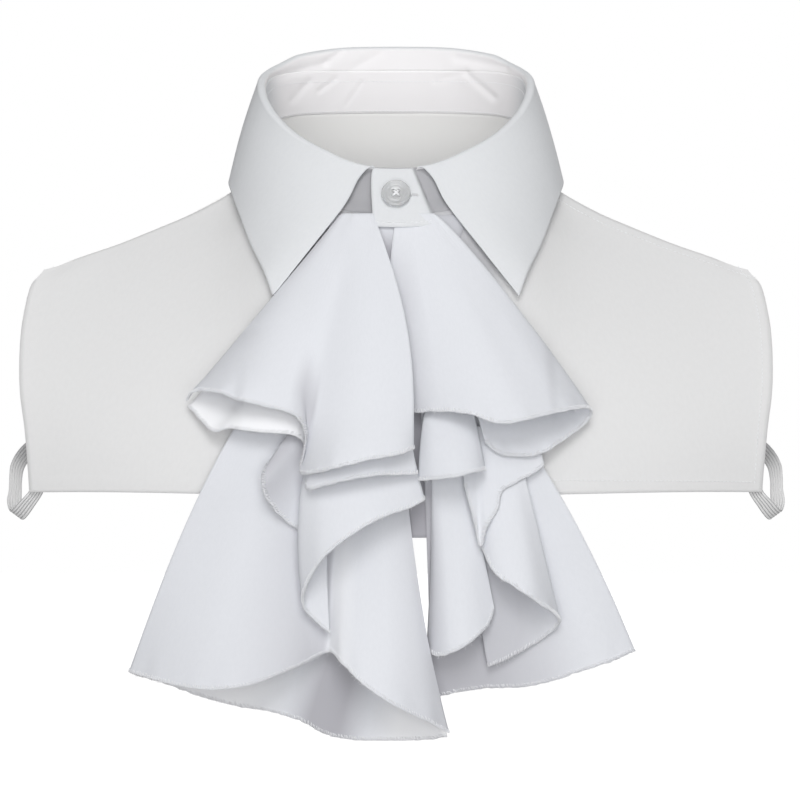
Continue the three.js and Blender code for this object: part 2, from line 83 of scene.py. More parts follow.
# slow unevenness of cloth, as a few waves in random directions
def unevenness(x, z, size, seed):
    random = np.random.default_rng(seed)
    waves = 7
    total = np.zeros_like(x)
    for _ in range(waves):
        angle = random.uniform(0, 2 * math.pi)
        length = size * random.uniform(0.6, 1.7)
        phase = random.uniform(0, 2 * math.pi)
        total += np.sin(2 * math.pi * (x * math.cos(angle) + z * math.sin(angle)) / length + phase)
    return total / waves


# the body that the cloth lies on
neck = {"halfWidth": 68, "halfDepth": 58}
neckLine = table(
    "turn height",
    [
        [0, -25.5], [15, -24.7], [28, -22.6], [40, -18], [52, -12], [62, -5.2], [75, 4.2],
        [90, 13.8], [100, 18.3], [112, 21], [130, 22.8], [154, 23.2], [180, 23.3],
    ],
)
body = {
    "hem": -165,
    "cornerDrop": 4.8,
    "cornerPower": 4,
    "halfHem": 189,
    "shoulderTip": 186,
    "neckShare": 0.42,
    "sidePower": 6,
    "roundRadius": 260,
    "roundPower": 2.2,
    "topMargin": 0.0015,
    "halvings": 24,
}
front = {"side": -1, "depth": 98}
back = {"side": 1, "depth": 92}
shoulderLine = table(
    "across height",
    [[68, 13.8], [74, -8], [90, -19], [108, -28.6], [127, -36.7], [146, -44.4], [165, -51], [186, -58.2]],
)
sideLine = table(
    "drop bow",
    [[0, 0], [0.06, 5.7], [0.12, 7.8], [0.25, 9.6], [0.4, 9.5], [0.55, 8], [0.7, 5], [0.85, 2.9], [1, 1.3]],
)


# turn from the middle of the front, the same on both hands
def fromFront(turn):
    return np.where(turn > 180, np.abs(360 - turn), np.abs(turn))


def neckSeam(turn):
    angle = np.radians(turn)
    height = readAt(neckLine, "turn", fromFront(turn), "height")
    return np.stack([neck["halfWidth"] * np.sin(angle), -neck["halfDepth"] * np.cos(angle), height], -1)


def hemHeight(share):
    return body["hem"] - body["cornerDrop"] * share ** body["cornerPower"]


def panelTop(share, face):
    turn = 90 * np.minimum(share / body["neckShare"], 1)
    seam = neckSeam(turn if face["side"] < 0 else 180 - turn)
    run = (share - body["neckShare"]) / (1 - body["neckShare"])
    across = lerp(neck["halfWidth"], body["shoulderTip"], run)
    shoulder = np.stack([across, 0 * across, readAt(shoulderLine, "across", across, "height")], -1)
    return np.where((share < body["neckShare"])[..., None], seam, shoulder)


def panelPoint(signedShare, drop, face):
    share = np.abs(signedShare)
    top = panelTop(share, face)
    hemAcross = share * body["halfHem"]
    hemDepth = face["depth"] * (1 - (hemAcross / body["roundRadius"]) ** body["roundPower"])
    bow = readAt(sideLine, "drop", drop, "bow") * share ** body["sidePower"]
    return np.stack(
        [
            np.sign(signedShare) * (lerp(top[..., 0], hemAcross, drop) + bow),
            lerp(top[..., 1], face["side"] * hemDepth, np.sin(math.pi / 2 * drop)),
            lerp(top[..., 2], hemHeight(share), drop),
        ],
        -1,
    )


# depth of the chest behind a place, found by halving
def chestAt(x, z):
    low, high = np.zeros_like(x), np.ones_like(x)

    def dropAt(top, share):
        return np.clip((top[..., 2] - z) / (top[..., 2] - hemHeight(share)), 0, 1)

    for _ in range(body["halvings"]):
        share = (low + high) / 2
        top = panelTop(share, front)
        short = lerp(top[..., 0], share * body["halfHem"], dropAt(top, share)) < np.abs(x)
        low = np.where(short, share, low)
        high = np.where(short, high, share)
    return panelPoint(low, dropAt(panelTop(low, front), low), front)[..., 1]


# meshes of cloth

def gridNormals(grid):
    down = np.gradient(grid, axis=0)
    across = np.gradient(grid, axis=1)
    return unit(np.cross(down, across))


def gridOf(rows, columns):
    return np.meshgrid(np.linspace(0, 1, rows + 1), np.linspace(0, 1, columns + 1), indexing="ij")


def lift(grid, amount):
    return grid + gridNormals(grid) * np.asarray(amount)[..., None]


# a copy of a grid whose folds are softened along the rows, with its ends kept
def softened(grid, steps):
    reach = int(3 * steps)
    weights = np.exp(-0.5 * (np.arange(-reach, reach + 1) / steps) ** 2)
    weights = weights / weights.sum()
    left = 2 * grid[:, :1] - grid[:, reach:0:-1]
    right = 2 * grid[:, -1:] - grid[:, -2 : -reach - 2 : -1]
    padded = np.concatenate([left, grid, right], 1)
    return sum(weight * padded[:, k : k + grid.shape[1]] for k, weight in enumerate(weights))


# length along each grid line, down from the top and across from the left
def clothCoordinates(grid):
    downSteps = np.linalg.norm(np.diff(grid, axis=0), axis=-1)
    acrossSteps = np.linalg.norm(np.diff(grid[-1], axis=0), axis=-1)
    down = np.vstack([np.zeros(grid.shape[1]), np.cumsum(downSteps, 0)])
    across = np.concatenate([[0], np.cumsum(acrossSteps)])
    return np.stack([np.broadcast_to(across, down.shape), down], -1)


def placeObject(name, data):
    placed = bpy.data.objects.new(name, data)
    bpy.context.scene.collection.objects.link(placed)
    return placed


# plain mesh of an object with its modifiers applied, in place of the object
def finishedMesh(source, name):
    mesh = bpy.data.meshes.new_from_object(source.evaluated_get(bpy.context.evaluated_depsgraph_get()))
    bpy.data.objects.remove(source)
    mesh.name = name
    return mesh


def addPiece(name, mesh):
    piece = placeObject(name, mesh)
    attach(piece, "root")
    return piece


wall = {"rimReach": 0.7, "sharpAngle": 60}  # share of half the thickness, and degrees


# closed wall round a grid of middle points, with a rounded rim, in place of a solid's node
# a mask gives how far each of its two faces takes the painted light or the painted shade colour of the
# material
def clothPiece(name, node, grid, thickness, slot, masks=None):
    rows, columns = grid.shape[:2]
    count = rows * columns
    normal = gridNormals(grid)
    half = np.broadcast_to(np.asarray(thickness, float), (rows, columns))[..., None] / 2
    index = np.arange(count).reshape(rows, columns)
    ring = np.concatenate([index[:, 0], index[-1, 1:], index[::-1, -1][1:], index[0, ::-1][1:-1]])
    inside = np.concatenate([index[:, 1], index[-2, 1:], index[::-1, -2][1:], index[1, ::-1][1:-1]])
    middle = grid.reshape(-1, 3)
    outward = unit(middle[ring] - middle[inside])
    rim = middle[ring] + outward * half.reshape(-1, 1)[ring] * wall["rimReach"]
    sides = [(grid + side * normal * half).reshape(-1, 3) for side in (1, -1)]
    points = np.concatenate([*sides, rim])
    a, b, c, d = index[:-1, :-1], index[1:, :-1], index[1:, 1:], index[:-1, 1:]
    upper = np.stack([a, b, c, d], -1).reshape(-1, 4)
    lower = np.stack([a, d, c, b], -1).reshape(-1, 4) + count
    rimIndex = 2 * count + np.arange(len(ring))
    nextRing, nextRim = np.roll(ring, -1), np.roll(rimIndex, -1)
    upperRim = np.stack([ring, rimIndex, nextRim, nextRing], -1)
    lowerRim = np.stack([rimIndex, ring + count, nextRing + count, nextRim], -1)
    faces = np.concatenate([upper, lower, upperRim, lowerRim])
    mesh = bpy.data.meshes.new(name)
    mesh.from_pydata((points * mm).tolist(), [], faces.tolist())
    coordinates = clothCoordinates(grid).reshape(-1, 2)
    perPoint = np.concatenate([coordinates, coordinates, coordinates[ring]]) * mm
    corner = np.zeros(len(mesh.loops), int)
    mesh.loops.foreach_get("vertex_index", corner)
    layer = mesh.uv_layers.new(name="cloth")
    layer.data.foreach_set("uv", perPoint[corner].ravel())
    for label, shares in (masks or {}).items():
        upperShare, lowerShare = (np.broadcast_to(share, (rows, columns)).ravel() for share in shares)
        attribute = mesh.attributes.new(label, "FLOAT", "POINT")
        values = np.concatenate([upperShare, lowerShare, lowerShare[ring]])
        attribute.data.foreach_set("value", values.astype(np.float32))
    mesh.shade_smooth()
    mesh.set_sharp_from_angle(angle=math.radians(wall["sharpAngle"]))
    mesh.materials.append(cloths[slot])
    piece = addPiece(name, mesh)
    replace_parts(piece, node)
    return piece


# node trees

def socketNames(group, direction, rows):
    for label, kind, value in rows:
        socket = group.interface.new_socket(label, in_out=direction, socket_type=kind)
        if value is not None:
            socket.default_value = value


# joins the inputs that are sockets, and sets the others as plain values
def setInputs(tree, node, inputs):
    for key, value in inputs.items():
        if isinstance(value, bpy.types.NodeSocket):
            tree.links.new(value, node.inputs[key])
        else:
            node.inputs[key].default_value = value


def addNode(tree, kind, inputs=None, **settings):
    node = tree.nodes.new(kind)
    for key, value in settings.items():
        setattr(node, key, value)
    setInputs(tree, node, inputs or {})
    return node


def firstOutput(tree, kind, inputs=None, **settings):
    return addNode(tree, kind, inputs, **settings).outputs[0]


def calculated(tree, operation, *values):
    return firstOutput(tree, "ShaderNodeMath", dict(enumerate(values)), operation=operation)


def combined(tree, *values):
    return firstOutput(tree, "ShaderNodeCombineXYZ", dict(enumerate(values)))


def mixedColour(tree, share, low, high):
    return addNode(tree, "ShaderNodeMix", {"Factor": share, 6: low, 7: high}, data_type="RGBA").outputs[2]


def startMaterial(name):
    material = bpy.data.materials.new(name)
    material.use_nodes = True
    return material, material.node_tree, material.node_tree.nodes["Principled BSDF"]


# cloth materials

weave = {"threads": 14000, "slubStretch": (520, 300, 1), "slubRange": (0.3, 0.7), "crumpleScale": 38}


# plain weave from two crossed sets of threads, with slubs and slow creasing of the cloth
def makeWeaveGroup():
    group = bpy.data.node_groups.new("plainWeave", "ShaderNodeTree")
    starts = {"Threads": weave["threads"], "Slub": 0.2, "Crumple": 4}
    socketNames(group, "INPUT", [(label, "NodeSocketFloat", value) for label, value in starts.items()])
    socketNames(group, "OUTPUT", [(label, "NodeSocketFloat", None) for label in ("Height", "Tone")])
    source = addNode(group, "NodeGroupInput").outputs
    place = firstOutput(group, "ShaderNodeUVMap", uv_map="cloth")
    turns = {0: place, "Scale": source["Threads"]}
    scaled = firstOutput(group, "ShaderNodeVectorMath", turns, operation="SCALE")
    parts = addNode(group, "ShaderNodeSeparateXYZ", {0: scaled}).outputs
    warp, weft = (calculated(group, "SINE", parts[axis]) for axis in "XY")
    woven = calculated(group, "MULTIPLY", warp, weft)
    stretch = {"Vector": place, "Scale": weave["slubStretch"]}
    stretched = firstOutput(group, "ShaderNodeMapping", stretch, vector_type="POINT")
    slub = firstOutput(group, "ShaderNodeTexNoise", {"Vector": stretched, "Scale": 1, "Detail": 2})
    still = addNode(group, "ShaderNodeTexCoord").outputs["Object"]
    slow = {"Vector": still, "Scale": weave["crumpleScale"], "Detail": 3}
    crumple = firstOutput(group, "ShaderNodeTexNoise", slow)
    slubbed = calculated(group, "MULTIPLY_ADD", slub, source["Slub"], woven)
    height = calculated(group, "MULTIPLY_ADD", crumple, source["Crumple"], slubbed)
    low, high = weave["slubRange"]
    paintedTone = firstOutput(group, "ShaderNodeMapRange", {0: slub, "From Min": low, "From Max": high})
    addNode(group, "NodeGroupOutput", {"Height": height, "Tone": paintedTone})
    return group


weaveGroup = makeWeaveGroup()


def clothMaterial(name, look):
    material, tree, shader = startMaterial(name)
    values = {"Threads": weave["threads"], "Slub": look["slub"], "Crumple": look["crumple"]}
    cloth = addNode(tree, "ShaderNodeGroup", node_tree=weaveGroup)
    setInputs(tree, cloth, values)
    colour = mixedColour(tree, cloth.outputs["Tone"], (*look["shade"], 1), (*look["light"], 1))
    # painted light and painted shade: attributes of a piece mix in a whiter or a greyer colour
    for label in ("painted_light", "painted_shade"):
        if label in look:
            share = addNode(tree, "ShaderNodeAttribute", attribute_name=label).outputs["Fac"]
            colour = mixedColour(tree, share, colour, (*look[label], 1))
    relief = {"Height": cloth.outputs["Height"], "Strength": look["bump"], "Distance": look["depth"] * mm}
    setInputs(tree, shader, {
        "Base Color": colour,
        "Normal": firstOutput(tree, "ShaderNodeBump", relief),
        "Roughness": look["roughness"],
        "Specular IOR Level": look["specular"],
        "Sheen Weight": look["sheen"],
        "Sheen Roughness": 0.5,
    })
    return material


# light and shade are paler and greyer slubbed threads, mixed at random; the other two colours paint light
# (whiter) and shade (greyer) where a piece's masks call for them
clothLooks = {
    "shirting": {
        "light": (0.81, 0.81, 0.812), "shade": (0.795, 0.795, 0.797),
        "painted_light": (0.985, 0.98, 0.965), "painted_shade": (0.5, 0.5, 0.53),
        "slub": 0.15, "crumple": 5, "bump": 0.2, "depth": 0.05,
        "roughness": 0.9, "specular": 0.2, "sheen": 0.05,
    },
    "collar_cloth": {
        "light": (0.775, 0.79, 0.81), "shade": (0.76, 0.775, 0.795),
        "painted_light": (0.95, 0.935, 0.945), "painted_shade": (0.45, 0.45, 0.47),
        "slub": 0.15, "crumple": 3, "bump": 0.2, "depth": 0.05,
        "roughness": 0.85, "specular": 0.25, "sheen": 0.05,
    },
    "ruffle_cloth": {
        "light": (0.795, 0.81, 0.85), "shade": (0.78, 0.795, 0.835),
        "painted_light": (0.97, 0.975, 0.995), "painted_shade": (0.44, 0.435, 0.47),
        "slub": 0.2, "crumple": 4, "bump": 0.22, "depth": 0.05,
        "roughness": 0.95, "specular": 0.06, "sheen": 0.02,
    },
    "thread": {
        "light": (0.95, 0.95, 0.97), "shade": (0.86, 0.87, 0.89),
        "slub": 0.4, "crumple": 5, "bump": 0.1, "depth": 0.03,
        "roughness": 0.8, "specular": 0.3, "sheen": 0.1,
    },
}
cloths = {name: clothMaterial(name, look) for name, look in clothLooks.items()}
print("cloth materials made")


# thread work along seams and hems, laid by geometry nodes

threadInputs = [
    ("Geometry", "NodeSocketGeometry", None),
    ("Pitch", "NodeSocketFloat", 0.002),
    ("Length", "NodeSocketFloat", 0.0016),
    ("Thread", "NodeSocketFloat", 0.0004),
    ("Depth", "NodeSocketFloat", 0.002),
    ("Seed", "NodeSocketInt", 1),
    ("Material", "NodeSocketMaterial", None),
]


# a tree with its inputs, points along the seam, and how a stitch is turned at each of them
def startTree(name):
    tree = bpy.data.node_groups.new(name, "GeometryNodeTree")
    socketNames(tree, "INPUT", threadInputs)
    socketNames(tree, "OUTPUT", threadInputs[:1])
    source = addNode(tree, "NodeGroupInput").outputs
    curve = firstOutput(tree, "GeometryNodeMeshToCurve", {"Mesh": source["Geometry"]})
    spacing = {"Curve": curve, "Length": source["Pitch"]}
    points = firstOutput(tree, "GeometryNodeResampleCurve", spacing, mode="LENGTH")
    tangent = firstOutput(tree, "GeometryNodeInputTangent")
    named = "GeometryNodeInputNamedAttribute"
    facing = firstOutput(tree, named, {"Name": "facing"}, data_type="FLOAT_VECTOR")
    align = "FunctionNodeAlignRotationToVector"
    forward = firstOutput(tree, align, {"Vector": tangent}, axis="X")
    turned = firstOutput(tree, align, {"Rotation": forward, "Vector": facing}, axis="Z", pivot_axis="X")
    return tree, source, points, turned


# a thread at each point as real geometry, each turned at random between low and high
def endTree(tree, source, points, rotation, thread, low, high, chosen=True):
    spread = {"Min": low, "Max": high, "Seed": source["Seed"]}
    amount = firstOutput(tree, "FunctionNodeRandomValue", spread, data_type="FLOAT_VECTOR")
    extra = firstOutput(tree, "FunctionNodeEulerToRotation", {0: amount})
    turned = firstOutput(tree, "FunctionNodeRotateRotation", {0: rotation, 1: extra}, rotation_space="LOCAL")
    laid = {"Points": points, "Selection": chosen, "Instance": thread, "Rotation": turned}
    placed = firstOutput(tree, "GeometryNodeInstanceOnPoints", laid)
    real = firstOutput(tree, "GeometryNodeRealizeInstances", {0: placed})
    smooth = firstOutput(tree, "GeometryNodeSetShadeSmooth", {0: real})
    painted = firstOutput(tree, "GeometryNodeSetMaterial", {0: smooth, "Material": source["Material"]})
    addNode(tree, "NodeGroupOutput", {0: painted})
    return tree


# round thread along a curve
def threadAlong(tree, source, curve):
    half = calculated(tree, "MULTIPLY", source["Thread"], 0.5)
    section = firstOutput(tree, "GeometryNodeCurvePrimitiveCircle", {"Resolution": 3, "Radius": half})
    return addNode(tree, "GeometryNodeCurveToMesh", {"Curve": curve, "Profile Curve": section})


# lockstitch: a row of short raised threads
def makeStitchTree():
    tree, source, points, rotation = startTree("lockstitch")
    bead = firstOutput(tree, "GeometryNodeMeshUVSphere", {"Segments": 6, "Rings": 4, "Radius": 0.5})
    size = combined(tree, source["Length"], source["Thread"], source["Thread"])
    shaped = firstOutput(tree, "GeometryNodeTransform", {0: bead, "Scale": size})
    return endTree(tree, source, points, rotation, shaped, (-0.05, -0.05, -0.12), (0.05, 0.05, 0.12))


# overlock: a loop of thread round the raw edge at each point
def makeOverlockTree():
    tree, source, points, rotation = startTree("overlock")
    circle = firstOutput(tree, "GeometryNodeCurvePrimitiveCircle", {"Resolution": 7, "Radius": 0.5})
    size = combined(tree, source["Length"], source["Depth"], 1)
    shaped = firstOutput(tree, "GeometryNodeTransform", {0: circle, "Scale": size})
    shift = combined(tree, 0, calculated(tree, "MULTIPLY", source["Depth"], 0.32))
    upright = {0: shaped, "Rotation": (0, math.pi / 2, 0), "Translation": shift}
    loop = threadAlong(tree, source, firstOutput(tree, "GeometryNodeTransform", upright)).outputs[0]
    return endTree(tree, source, points, rotation, loop, (-0.1, -0.15, 0.05), (0.1, 0.15, 0.75))


# stray fibres that stand out of a cut edge
def makeFibreTree():
    tree, source, points, rotation = startTree("strayFibres")
    bend = combined(tree, source["Length"], source["Depth"])
    end = firstOutput(tree, "ShaderNodeVectorMath", {0: bend, "Scale": -1}, operation="SCALE")
    middle = firstOutput(tree, "ShaderNodeVectorMath", {0: end, 1: (0.1, 0.6, 0)}, operation="MULTIPLY")
    arc = {"Resolution": 4, "Start": (0, 0, 0), "Middle": middle, "End": end}
    strand = threadAlong(tree, source, firstOutput(tree, "GeometryNodeCurveQuadraticBezier", arc))
    strand.inputs["Fill Caps"].default_value = True
    some = {"Probability": 0.45, "Seed": source["Seed"]}
    kept = addNode(tree, "FunctionNodeRandomValue", some, data_type="BOOLEAN")
    chosen = next(output for output in kept.outputs if output.enabled)
    low, high = (-1.3, -0.9, -0.9), (1.3, 0.9, 0.9)
    return endTree(tree, source, points, rotation, strand.outputs[0], low, high, chosen)


stitchTree, overlockTree, fibreTree = makeStitchTree(), makeOverlockTree(), makeFibreTree()

threadWork = {
    "lockstitch": {"tree": stitchTree, "Pitch": 2.3, "Length": 1.9, "Thread": 0.38, "Depth": 1},
    "overlock": {"tree": overlockTree, "Pitch": 0.85, "Length": 1.15, "Thread": 0.46, "Depth": 2.4},
    "buttonhole": {"tree": overlockTree, "Pitch": 0.42, "Length": 0.5, "Thread": 0.3, "Depth": 0.95},
    "fibres": {"tree": fibreTree, "Pitch": 1.2, "Length": 0.6, "Thread": 0.16, "Depth": 1.8},
}


# one piece of thread work along runs, each a line of points and how the cloth faces at them
def threadPiece(name, runs, kind, seed):
    points, edges = np.concatenate([line for line, _ in runs]) * mm, []
    for line, _ in runs:
        start = edges[-1][1] + 1 if edges else 0
        edges += [(step, step + 1) for step in range(start, start + len(line) - 1)]
    mesh = bpy.data.meshes.new(name + "_line")
    mesh.from_pydata(points.tolist(), edges, [])
    facing = np.concatenate([facing for _, facing in runs]).astype(np.float32)
    mesh.attributes.new("facing", "FLOAT_VECTOR", "POINT").data.foreach_set("vector", facing.ravel())
    line = placeObject(name + "_line", mesh)
    values = {label: threadWork[kind][label] * mm for label in ("Pitch", "Length", "Thread", "Depth")}
    values.update({"Seed": seed, "Material": cloths["thread"]})
    modifier = line.modifiers.new("thread", "NODES")
    modifier.node_group = threadWork[kind]["tree"]
    for socket in modifier.node_group.interface.items_tree:
        if socket.in_out == "INPUT" and socket.name in values:
            modifier[socket.identifier] = values[socket.name]
    return addPiece(name, finishedMesh(line, name))


# a line on a grid of cloth, raised from it, and how the cloth faces along it
def seamRun(grid, place, raised=0):
    normal = gridNormals(grid)[place]
    return grid[place] + normal * raised, normal


# bib and back

bib = {
    "rows": 92,
    "columns": 104,
    "thickness": 0.7,
    "hemThickness": 1.05,
    "hemWidth": 7.2,
    "sideHemWidth": 5,
    "hemEdge": 0.8,
    "lapShare": 0.055,
    "lapFade": 0.75,
    "lapLift": 0.8,
    "crowding": 1.15,
    "unevenness": 0.35,
    "unevenSize": 70,
    "unevenFrom": (0.1, 0.35),
    "stitchRaise": 0.12,
    "seamRow": 3,
    "soften": 7,
    "softenFrom": (0.02, 0.2),
    "shade": 0.7,  # beside the ruffles, under the collar
    "shadeAcross": (45, 66),
    "shadeDown": (52, 74),
}


# 0 on plain cloth and 1 on a hem that starts at a place
def hemShare(place, start):
    return smoothStep(place, start - bib["hemEdge"], start + bib["hemEdge"])


def hemThickness(coordinates, bothSides=False):
    across, down = coordinates[..., 0], coordinates[..., 1]
    share = hemShare(down, down[-1] - bib["hemWidth"])
    share = np.maximum(share, hemShare(across, across[:, -1:] - bib["sideHemWidth"]))
    if bothSides:
        share = np.maximum(share, hemShare(-across, -bib["sideHemWidth"]))
    return lerp(bib["thickness"], bib["hemThickness"], share)


# row and column of a grid that the stitches of its hems follow
def hemLines(coordinates, side):
    down = coordinates[:, coordinates.shape[1] // 2, 1]
    row = np.argmin(np.abs(down - (down[-1] - bib["hemWidth"])))
    return row, np.argmin(np.abs(coordinates[-1, :, 0] - side))


# softens the bends that a panel takes from the neck seam, but not at the seam itself
def eased(grid, v):
    return lerp(grid, softened(grid, bib["soften"]), smoothStep(v, *bib["softenFrom"])[..., None])


def makeBibHalf(name, node, hand, seed):
    v, u = gridOf(bib["rows"], bib["columns"])
    share = lerp(-bib["lapShare"], 1, u ** bib["crowding"])
    grid = panelPoint(hand * share, lerp(body["topMargin"], 1, v), front)
    x, z = grid[..., 0], grid[..., 2]
    lap = 1 - smoothStep(share, bib["lapShare"], bib["lapFade"])
    relief = unevenness(x, z, bib["unevenSize"], seed) * smoothStep(share, *bib["unevenFrom"])
    grid = eased(lift(grid, bib["lapLift"] * lap + bib["unevenness"] * relief), v)
    coordinates = clothCoordinates(grid)
    # painted shade on both faces of the bib beside the ruffles and under the collar
    shade = (1 - smoothStep(np.abs(x), *bib["shadeAcross"])) * (1 - smoothStep(-z, *bib["shadeDown"]))
    shade = bib["shade"] * shade
    piece = clothPiece(name, node, grid, hemThickness(coordinates), "shirting", {"painted_shade": (shade, shade)})
    raised = bib["hemThickness"] / 2 + bib["stitchRaise"]
    hemRow, sideColumn = hemLines(coordinates, coordinates[-1, -1, 0] - bib["sideHemWidth"])
    shoulder = int(np.argmax(share[0] > body["neckShare"]))
    runs = [
        seamRun(grid, np.s_[hemRow, : sideColumn + 1], raised),
        seamRun(grid, np.s_[: hemRow + 1, sideColumn], raised),
        seamRun(grid, np.s_[bib["seamRow"], shoulder:], bib["thickness"] / 2 + bib["stitchRaise"]),
    ]
    stitches = threadPiece(name + "_stitches", runs, "lockstitch", seed)


makeBibHalf("bib_right", "front_panel_right", 1, 11)
makeBibHalf("bib_left", "front_panel_left", -1, 12)

backPanel = {"rows": 80, "columns": 180, "unevenSize": 80, "paintedLightDown": (60, 10)}


def makeBack():
    v, u = gridOf(backPanel["rows"], backPanel["columns"])
    grid = panelPoint(lerp(-1, 1, u), lerp(body["topMargin"], 1, v), back)
    relief = unevenness(grid[..., 0], grid[..., 2], backPanel["unevenSize"], 13)
    grid = eased(lift(grid, bib["unevenness"] * relief), v)
    coordinates = clothCoordinates(grid)
    # painted light on both faces of the back near the neck
    inner = smoothStep(coordinates[..., 1], *backPanel["paintedLightDown"])
    thickness, masks = hemThickness(coordinates, True), {"painted_light": (inner, inner)}
    piece = clothPiece("back", "back_panel", grid, thickness, "shirting", masks)
    raised = bib["hemThickness"] / 2 + bib["stitchRaise"]
    hemRow, sideColumn = hemLines(coordinates, bib["sideHemWidth"])
    runs = []
    for side in (raised, -raised):
        runs.append(seamRun(grid, np.s_[hemRow, sideColumn : len(u[0]) - sideColumn], side))
        runs += [seamRun(grid, np.s_[: hemRow + 1, column], side) for column in (sideColumn, -1 - sideColumn)]
    stitches = threadPiece("back_stitches", runs, "lockstitch", 14)


makeBack()
print("bib and back made")


# collar stand

stand = {
    "rows": 24,
    "columns": 420,
    "thickness": 1.3,
    "seamGap": 0.3,
    "frontHeight": 24.5,
    "backHeight": 21.5,
    "frontLean": 10,
    "sideLean": -1,
    "backLean": 3,
    "lapTurn": 12,
    "fadeTurn": 40,
    "lapLift": 1.0,
    "topTrim": 0.8,
    "bottomTrim": 3.5,
    "tabFoot": 15.4,
    "tabTop": 8.5,
    "tabStep": 1.1,
    "innerLap": 8,
    "recess": 2.6,
    "tabFlare": 6.6,
    "recessFade": (38, 62),
    "recessRise": 0.3,
    "frontTrim": 1.4,
    "frontFade": (20, 60),
    "sunkTop": 0.5,
    "sinkFrom": (10, 14),
    "sinkUntil": (60, 100),
    "seamLap": 1.1,
    "seamLapFrom": (80, 120),
    "tabDrop": 5.4,
    "behindDepth": (5, 30),
    "unevenness": 0.3,
    "unevenSize": 26,
    "creaseRise": 0.15,
    "stitchRow": 1.2,
    "topRow": 6.4,
    "stitchMargin": 3,
    "stitchRaise": 0.1,
}


def backShare(turn):
    return (1 - np.cos(np.radians(turn))) / 2


def standHeight(turn):
    return lerp(stand["frontHeight"], stand["backHeight"], backShare(turn))


def standLean(turn):
    cosine = np.cos(np.radians(turn))
    ends = np.where(cosine > 0, stand["frontLean"], stand["backLean"])
    return lerp(stand["sideLean"], ends, cosine**2)


def outwardAt(turn):
    angle = np.radians(turn)
    return np.stack([np.sin(angle), -np.cos(angle), 0 * angle], -1)


def standPoint(turn, share, raised=0.0):
    point = neckSeam(turn)
    point[..., 2] += lerp(stand["seamGap"], standHeight(turn), share)
    return point + outwardAt(turn) * (raised - standLean(turn) * share)[..., None]


# creases on the inside of the fallen collar behind the neck: across and height of both ends,
# width, and depth outward
insideCreases = table(
    "across1 height1 across2 height2 width depth",
    [
        [-68.5, 41.7, -38.4, 49.5, 2.6, 1.2],
        [-38.4, 49.5, -29.5, 55.7, 2.2, 1.1],
        [-22.9, 46.6, -7.1, 55.9, 2.4, 0.8],
        [-41.5, 34.6, -32.8, 41.1, 1.8, 0.7],
        [-27.3, 26.7, -18.6, 39, 1.6, 0.6],
        [-56, 30, -47, 40, 2.3, 0.7],
        [32.8, 52.3, 58.4, 47.9, 2.6, 1.2],
        [38.5, 43.9, 53, 31.3, 2.1, 1],
        [22, 40, 38, 45, 2.2, 0.6],
    ],
)


creaseRidge = {"height": 0.45, "width": 2.2}  # beside a crease, as shares of its depth and width


def insideRelief(x, z):
    relief = np.zeros_like(x)
    for x1, z1, x2, z2, width, depth in zip(*insideCreases.values()):
        dx, dz = x2 - x1, z2 - z1
        t = np.clip(((x - x1) * dx + (z - z1) * dz) / (dx * dx + dz * dz), 0, 1)
        distance = np.hypot(x - x1 - t * dx, z - z1 - t * dz)
        ridge = creaseRidge["height"] * np.exp(-((distance / width / creaseRidge["width"]) ** 2))
        valley = np.exp(-((distance / width) ** 2)) - ridge
        relief += depth * valley
    return relief


def nearFront(turn):
    return 1 - smoothStep(fromFront(turn), *stand["frontFade"])


# 0 on the buttoned tab and 1 on the band beside it
def besideTab(turn, share):
    edge = lerp(stand["tabFoot"], stand["tabTop"], share)
    return np.where(turn > 180, 1, smoothStep(turn, edge - stand["tabStep"], edge + stand["tabStep"]))


# lift of the stand's cloth: the outer lap steps down to the band beside the buttoned tab
def bandLift(turn, share):
    beside = besideTab(turn, share)
    inner = smoothStep(turn, 360 - stand["fadeTurn"], 360 - stand["lapTurn"])
    recess = stand["recess"] * beside * (1 - smoothStep(fromFront(turn), *stand["recessFade"]))
    recess = recess * smoothStep(share, 0, stand["recessRise"])
    flare = stand["tabFlare"] * (1 - beside) * (1 - share) ** 2
    return stand["lapLift"] * (1 - beside - inner) - recess + flare


